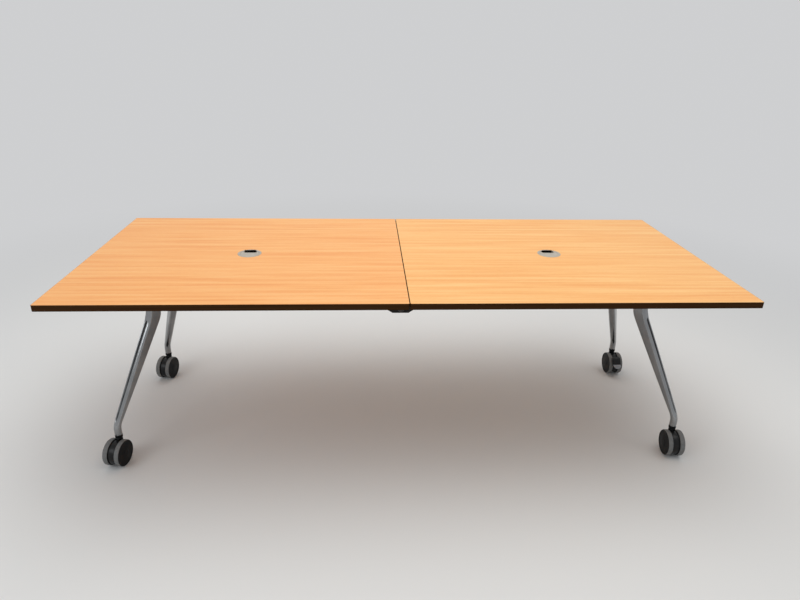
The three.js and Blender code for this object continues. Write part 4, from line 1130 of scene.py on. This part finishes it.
def castor_hood(name, fitted):
    """A drum between the wheels, cut flat above the floor, and a neck that widens into it below the collar.
    A braked one is two cheeks and a core, with a bay in the core for the pedal's arm."""
    chord = math.asin((AXLE_Z - HOOD_FLOOR_GAP) / HOOD_RADIUS)
    drum = arc((CASTOR_TRAIL, AXLE_Z), HOOD_RADIUS, -chord, math.pi + chord, steps=72)
    slices = [(drum, -HOOD_HALF, HOOD_HALF, HOOD_EDGE)]
    if name in BRAKED:
        slices = [
            (drum, -HOOD_HALF, -PEDAL_SLOT_HALF, (HOOD_EDGE, CHEEK_EDGE)),
            (drum_with_bay(chord), -PEDAL_SLOT_HALF, PEDAL_SLOT_HALF, CHEEK_EDGE),
            (drum, PEDAL_SLOT_HALF, HOOD_HALF, (CHEEK_EDGE, HOOD_EDGE)),
        ]
    shells, ends = gathered([prism(*one, facing_y) for one in slices])
    top = COLLAR_Z - FIT
    profile = fillet([
        (0, NECK_BASE_Z, 0), (NECK_BASE_RADIUS, NECK_BASE_Z, 0), (NECK_RADIUS, top, NECK_EDGE), (0, top, 0),
    ], steps=5)
    neck = revolve(profile, (0, 0, 0), Z_AXIS)
    axle = cross_bar(CASTOR_TRAIL, AXLE_Z, AXLE_END_Y, AXLE_RADIUS)
    fitted("hood", [*shells, neck, axle], HOOD_BLACK, f"{name}_castor", f"{name}_castor_hood", ends)


def drum_with_bay(chord):
    """The drum's outline with a bay at the front, where the brake pedal's arm comes out."""
    bay_back = CASTOR_TRAIL + PEDAL_FORWARD - BAY_DEPTH
    bay_low = PEDAL_RISE - BAY_HEIGHT / 2
    bay_high = PEDAL_RISE + BAY_HEIGHT / 2
    axle = (CASTOR_TRAIL, AXLE_Z)
    before = arc(axle, HOOD_RADIUS, -chord, math.asin(bay_low / HOOD_RADIUS), steps=16)
    after = arc(axle, HOOD_RADIUS, math.asin(bay_high / HOOD_RADIUS), math.pi + chord, steps=60)
    bay = fillet([
        (*before[-1], 0), (bay_back, AXLE_Z + bay_low, BAY_LOW_CORNER),
        (bay_back, AXLE_Z + bay_high, BAY_HIGH_CORNER), (*after[0], 0),
    ], steps=4)
    return np.vstack([before, bay, after])


def wheel(name, index, end, fitted):
    """A tread with soft shoulders, and a black disc that bulges out, with a rim bead and a centre boss, both
    turned about the axle."""
    centre = (CASTOR_TRAIL, 0, AXLE_Z)
    axis = (0, end, 0)
    body = f"{name}_wheel_{index}"
    outer = WHEEL_INNER_Y + WHEEL_WIDTH
    bore = TYRE_RADIUS - TYRE_THICKNESS
    section = fillet([
        (bore, WHEEL_INNER_Y, TYRE_BORE_EDGE), (TYRE_RADIUS, WHEEL_INNER_Y, TYRE_INNER_SHOULDER),
        (TYRE_RADIUS, outer, TYRE_OUTER_SHOULDER), (bore, outer, TYRE_BORE_EDGE),
    ], steps=8)
    tread = revolve(closed(section), centre, axis, LARGE_ROUND)
    fitted(f"tread_{index}", [tread], TREAD, body, f"{name}_tyre_{index}")
    rim = bore - FIT
    seat = AXLE_RADIUS + FIT
    depth = AXLE_END_Y + FIT
    bulge = outer + DISC_BULGE
    profile = fillet([
        (0, depth, 0), (seat, depth, 0), (seat, WHEEL_INNER_Y, 0), (rim, WHEEL_INNER_Y, 0),
        *((rim + out, outer + proud, radius) for out, proud, radius in RIM_BEAD),
        (BOSS_BASE_RADIUS, bulge, BOSS_EDGE), (BOSS_RADIUS, bulge + BOSS_RISE, BOSS_EDGE),
        (0, bulge + BOSS_CROWN, 0),
    ], steps=5)
    disc = revolve(profile, centre, axis, LARGE_ROUND)
    fitted(f"disc_{index}", [disc], DISC_BLACK, body, f"{name}_wheel_hub_{index}")


def brake_pedal(name, fitted):
    """A sloping lever, drawn flat and tilted: a narrow arm from its pivot, then a wide tread under a pale,
    ribbed pad. A curved shield rises from the tread's back edge in front of the wheels."""
    body = f"{name}_pedal"
    pivot = np.array([CASTOR_TRAIL + PEDAL_FORWARD, 0, AXLE_Z + PEDAL_RISE])
    along = np.array([math.cos(PEDAL_SLOPE), 0, -math.sin(PEDAL_SLOPE)])
    up = np.array([math.sin(PEDAL_SLOPE), 0, math.cos(PEDAL_SLOPE)])

    def sloped(across, far, high):
        return pivot + far[..., None] * along + across[..., None] * Y_AXIS + high[..., None] * up

    arm = PEDAL_SLOT_HALF - FIT
    half = PEDAL_THICKNESS / 2
    tread = PEDAL_TREAD_HALF
    outline = fillet([
        (-arm, 0, PEDAL_CORNER), (arm, 0, PEDAL_CORNER), (arm, PEDAL_ARM, PEDAL_NOTCH),
        (tread, PEDAL_ARM, PEDAL_CORNER), (tread, PEDAL_LENGTH, PEDAL_TREAD_CORNER),
        (-tread, PEDAL_LENGTH, PEDAL_TREAD_CORNER), (-tread, PEDAL_ARM, PEDAL_CORNER),
        (-arm, PEDAL_ARM, PEDAL_NOTCH),
    ], steps=6)
    walls, ends = prism(outline, -half, half, PEDAL_EDGE, sloped)
    eye = cross_bar(pivot[0], pivot[2], arm, PEDAL_EYE_RADIUS, PEDAL_EYE_EDGE, segments=32)
    trunnion = cross_bar(pivot[0], pivot[2], TRUNNION_HALF, TRUNNION_RADIUS, TRUNNION_EDGE, segments=24)
    shield, shield_ends = pedal_shield()
    fitted("pedal_lever", [walls, eye, trunnion, shield], HOOD_BLACK, body,
           f"{name}_brake_pedal", ends + shield_ends)
    pad_top = half + PAD_RISE
    ribs = [rounded_rectangle((-RIB_HALF_LENGTH, PEDAL_ARM + place - RIB_HALF_WIDTH),
                              (RIB_HALF_LENGTH, PEDAL_ARM + place + RIB_HALF_WIDTH), RIB_CORNER, steps=4)
            for place in RIB_PLACES]
    rib_walls, rib_ends = gathered([prism(rib, pad_top - RIB_SINK, pad_top + RIB_RISE, RIB_EDGE, sloped)
                                    for rib in ribs])
    pad, pad_ends = pedal_pad(half, sloped)
    fitted("pedal_pad", [pad, *rib_walls], PEDAL_GREY, body, ends=pad_ends + rib_ends)


def pedal_shield():
    """A plate bent round the axle at one radius, clear of the treads, with quarter-round upper corners."""
    angle = np.linspace(SHIELD_LOW, SHIELD_HIGH, SHIELD_RINGS)
    out = np.stack([np.cos(angle), np.sin(angle)], -1)
    path = np.array([CASTOR_TRAIL, AXLE_Z]) + SHIELD_RADIUS * out
    near_top = np.clip(1 - (SHIELD_HIGH - angle) * SHIELD_RADIUS / SHIELD_CORNER, 0, 1)
    half_width = PEDAL_TREAD_HALF - SHIELD_CORNER * (1 - np.sqrt(1 - near_top ** 2))
    return plate_along(path, out, half_width, SHIELD_THICKNESS / 2)


def pedal_pad(half, sloped):
    """A pale sheet on the tread that bends over its front edge into a lip. At share s of its length it is as
    wide as the tread, less a margin, times sqrt(1 - s^3), which ends the lip in a rounded tongue."""
    run = PEDAL_LENGTH - PEDAL_ARM - PAD_MARGIN - PAD_BEND / 2
    bend_length = PAD_BEND * PAD_BEND_ANGLE
    share = np.sin(np.linspace(0, math.pi / 2, PAD_RINGS))
    travel = share * (run + bend_length + PAD_LIP)
    bend = np.clip((travel - run) / PAD_BEND, 0, PAD_BEND_ANGLE)
    lip = np.maximum(travel - run - bend_length, 0)
    start = PEDAL_ARM + PAD_MARGIN
    far = start + np.minimum(travel, run) + PAD_BEND * np.sin(bend) + lip * math.cos(PAD_BEND_ANGLE)
    high = half + PAD_RISE / 2 - PAD_BEND * (1 - np.cos(bend)) - lip * math.sin(PAD_BEND_ANGLE)
    path = sloped(np.zeros_like(far), far, high)[:, [0, 2]]
    tilt = PEDAL_SLOPE + bend
    out = np.stack([np.sin(tilt), np.cos(tilt)], -1)
    half_width = (PEDAL_TREAD_HALF - PAD_MARGIN) * np.sqrt(np.maximum(1 - share ** 3, 0))
    pad, ends = plate_along(path, out, half_width, PAD_RISE / 2 + PAD_SINK)
    return pad, ends[:1]


# Stage, light and camera

def seen_rays(tree):
    """One for rays that show a surface, straight or in metal, and nothing for those that light it."""
    path = add(tree, "LightPath", {}).outputs
    total = path["Is Camera Ray"]
    for other in ("Is Glossy Ray", "Is Transmission Ray"):
        total = add(tree, "Math", {0: total, 1: path[other]}, operation="MAXIMUM").outputs["Value"]
    return total


def stage_floor():
    """A wide pale floor whose far part fades into the backdrop's colour with its distance from the table."""
    finish = Finish("pale_floor", (0.70, 0.70, 0.69), roughness=0.6, specular=0.2)
    tree = finish.tree
    distance = add(tree, "VectorMath", {0: finish.coordinates}, operation="LENGTH").outputs["Value"]
    limits = {"From Min": FADE_START, "From Max": FADE_END}
    fade = add(tree, "MapRange", {"Value": distance, **limits}, interpolation_type="SMOOTHSTEP")
    share = add(tree, "Math", {0: fade.outputs["Result"], 1: seen_rays(tree)}, operation="MULTIPLY")
    glow = add(tree, "Emission", {"Color": (*BACKDROP, 1)})
    mixed = add(tree, "MixShader", {"Fac": share.outputs["Value"], 1: finish.shader.outputs["BSDF"],
                                    2: glow.outputs["Emission"]})
    fill(tree.nodes["Material Output"], {"Surface": mixed.outputs["Shader"]})
    mesh = bpy.data.meshes.new("floor")
    reach = FLOOR_REACH
    corners = [(-reach, -reach, 0), (reach, -reach, 0), (reach, reach, 0), (-reach, reach, 0)]
    mesh.from_pydata(corners, [], [(0, 1, 2, 3)])
    mesh.materials.append(finish.material)
    floor = bpy.data.objects.new("floor", mesh)
    bpy.context.scene.collection.objects.link(floor)


def area_light(name, place, aim, size, power, colour):
    """A rectangular lamp that stands at place and points at aim."""
    lamp = bpy.data.lights.new(name, "AREA")
    lamp.shape = "RECTANGLE"
    lamp.size, lamp.size_y = size
    lamp.energy = power
    lamp.color = colour
    holder = bpy.data.objects.new(name, lamp)
    holder.location = place
    holder.rotation_euler = (Vector(aim) - Vector(place)).to_track_quat("-Z", "Y").to_euler()
    bpy.context.scene.collection.objects.link(holder)


def studio_light():
    """A large soft key above and behind, so the front edge is in shade, and a weak fill from the front left.
    The backdrop is seen a little paler than the light it gives."""
    area_light("key", place=(0.3, 0.3, 3.7), aim=(0, 0, 0.6), size=(5.0, 3.0), power=116,
               colour=(1.0, 0.98, 0.95))
    area_light("fill", place=(-3.2, -2.6, 2.6), aim=(0, 0, 0.5), size=(2.4, 2.0), power=38,
               colour=(0.95, 0.98, 1.0))
    world = bpy.data.worlds.new("studio")
    world.use_nodes = True
    tree = world.node_tree
    lighting = tree.nodes["Background"]
    fill(lighting, {"Color": (*SKY, 1), "Strength": SKY_STRENGTH})
    backdrop = add(tree, "Background", {"Color": (*BACKDROP, 1)})
    mixed = add(tree, "MixShader", {"Fac": seen_rays(tree), 1: lighting.outputs["Background"],
                                    2: backdrop.outputs["Background"]})
    fill(tree.nodes["World Output"], {"Surface": mixed.outputs["Shader"]})
    bpy.context.scene.world = world


def camera():
    """Placed and turned by the photograph's fitted view: yaw, pitch and roll from looking along +Y."""
    level = math.cos(CAMERA_PITCH)
    forward = Vector((math.sin(CAMERA_YAW) * level, math.cos(CAMERA_YAW) * level, -math.sin(CAMERA_PITCH)))
    level_right = Vector((math.cos(CAMERA_YAW), -math.sin(CAMERA_YAW), 0))
    down = -level_right.cross(forward)
    right = math.cos(CAMERA_ROLL) * level_right + math.sin(CAMERA_ROLL) * down
    up = math.sin(CAMERA_ROLL) * level_right - math.cos(CAMERA_ROLL) * down
    turn = Matrix((right, up, -forward)).transposed().to_4x4()
    lens = bpy.data.cameras.new("camera")
    lens.sensor_width = SENSOR_WIDTH_MM
    lens.lens = FOCAL_LENGTH_PX * SENSOR_WIDTH_MM / FRAME_WIDTH_PX
    holder = bpy.data.objects.new("camera", lens)
    holder.matrix_world = Matrix.Translation(CAMERA_PLACE) @ turn
    bpy.context.scene.collection.objects.link(holder)
    bpy.context.scene.camera = holder


camera()
studio_light()
stage_floor()
finish_boards_and_rails()
for half_table in (-1, 1):
    edge_band(half_table)
    grommet_liner(half_table)
    grommet_cap(half_table)
    slot_brush(half_table)
    rail_screws(half_table)
    leg_frame_steel(half_table)
    push_rod(half_table)
    for table_end in (-1, 1):
        leg(half_table, table_end)
hub_plates()
hub_shafts_and_pins()
hub_spacer()
lock_plunger()
for castor_name in CASTOR_HEADINGS:
    castor(castor_name)

bpy.context.scene.view_settings.view_transform = "Standard"
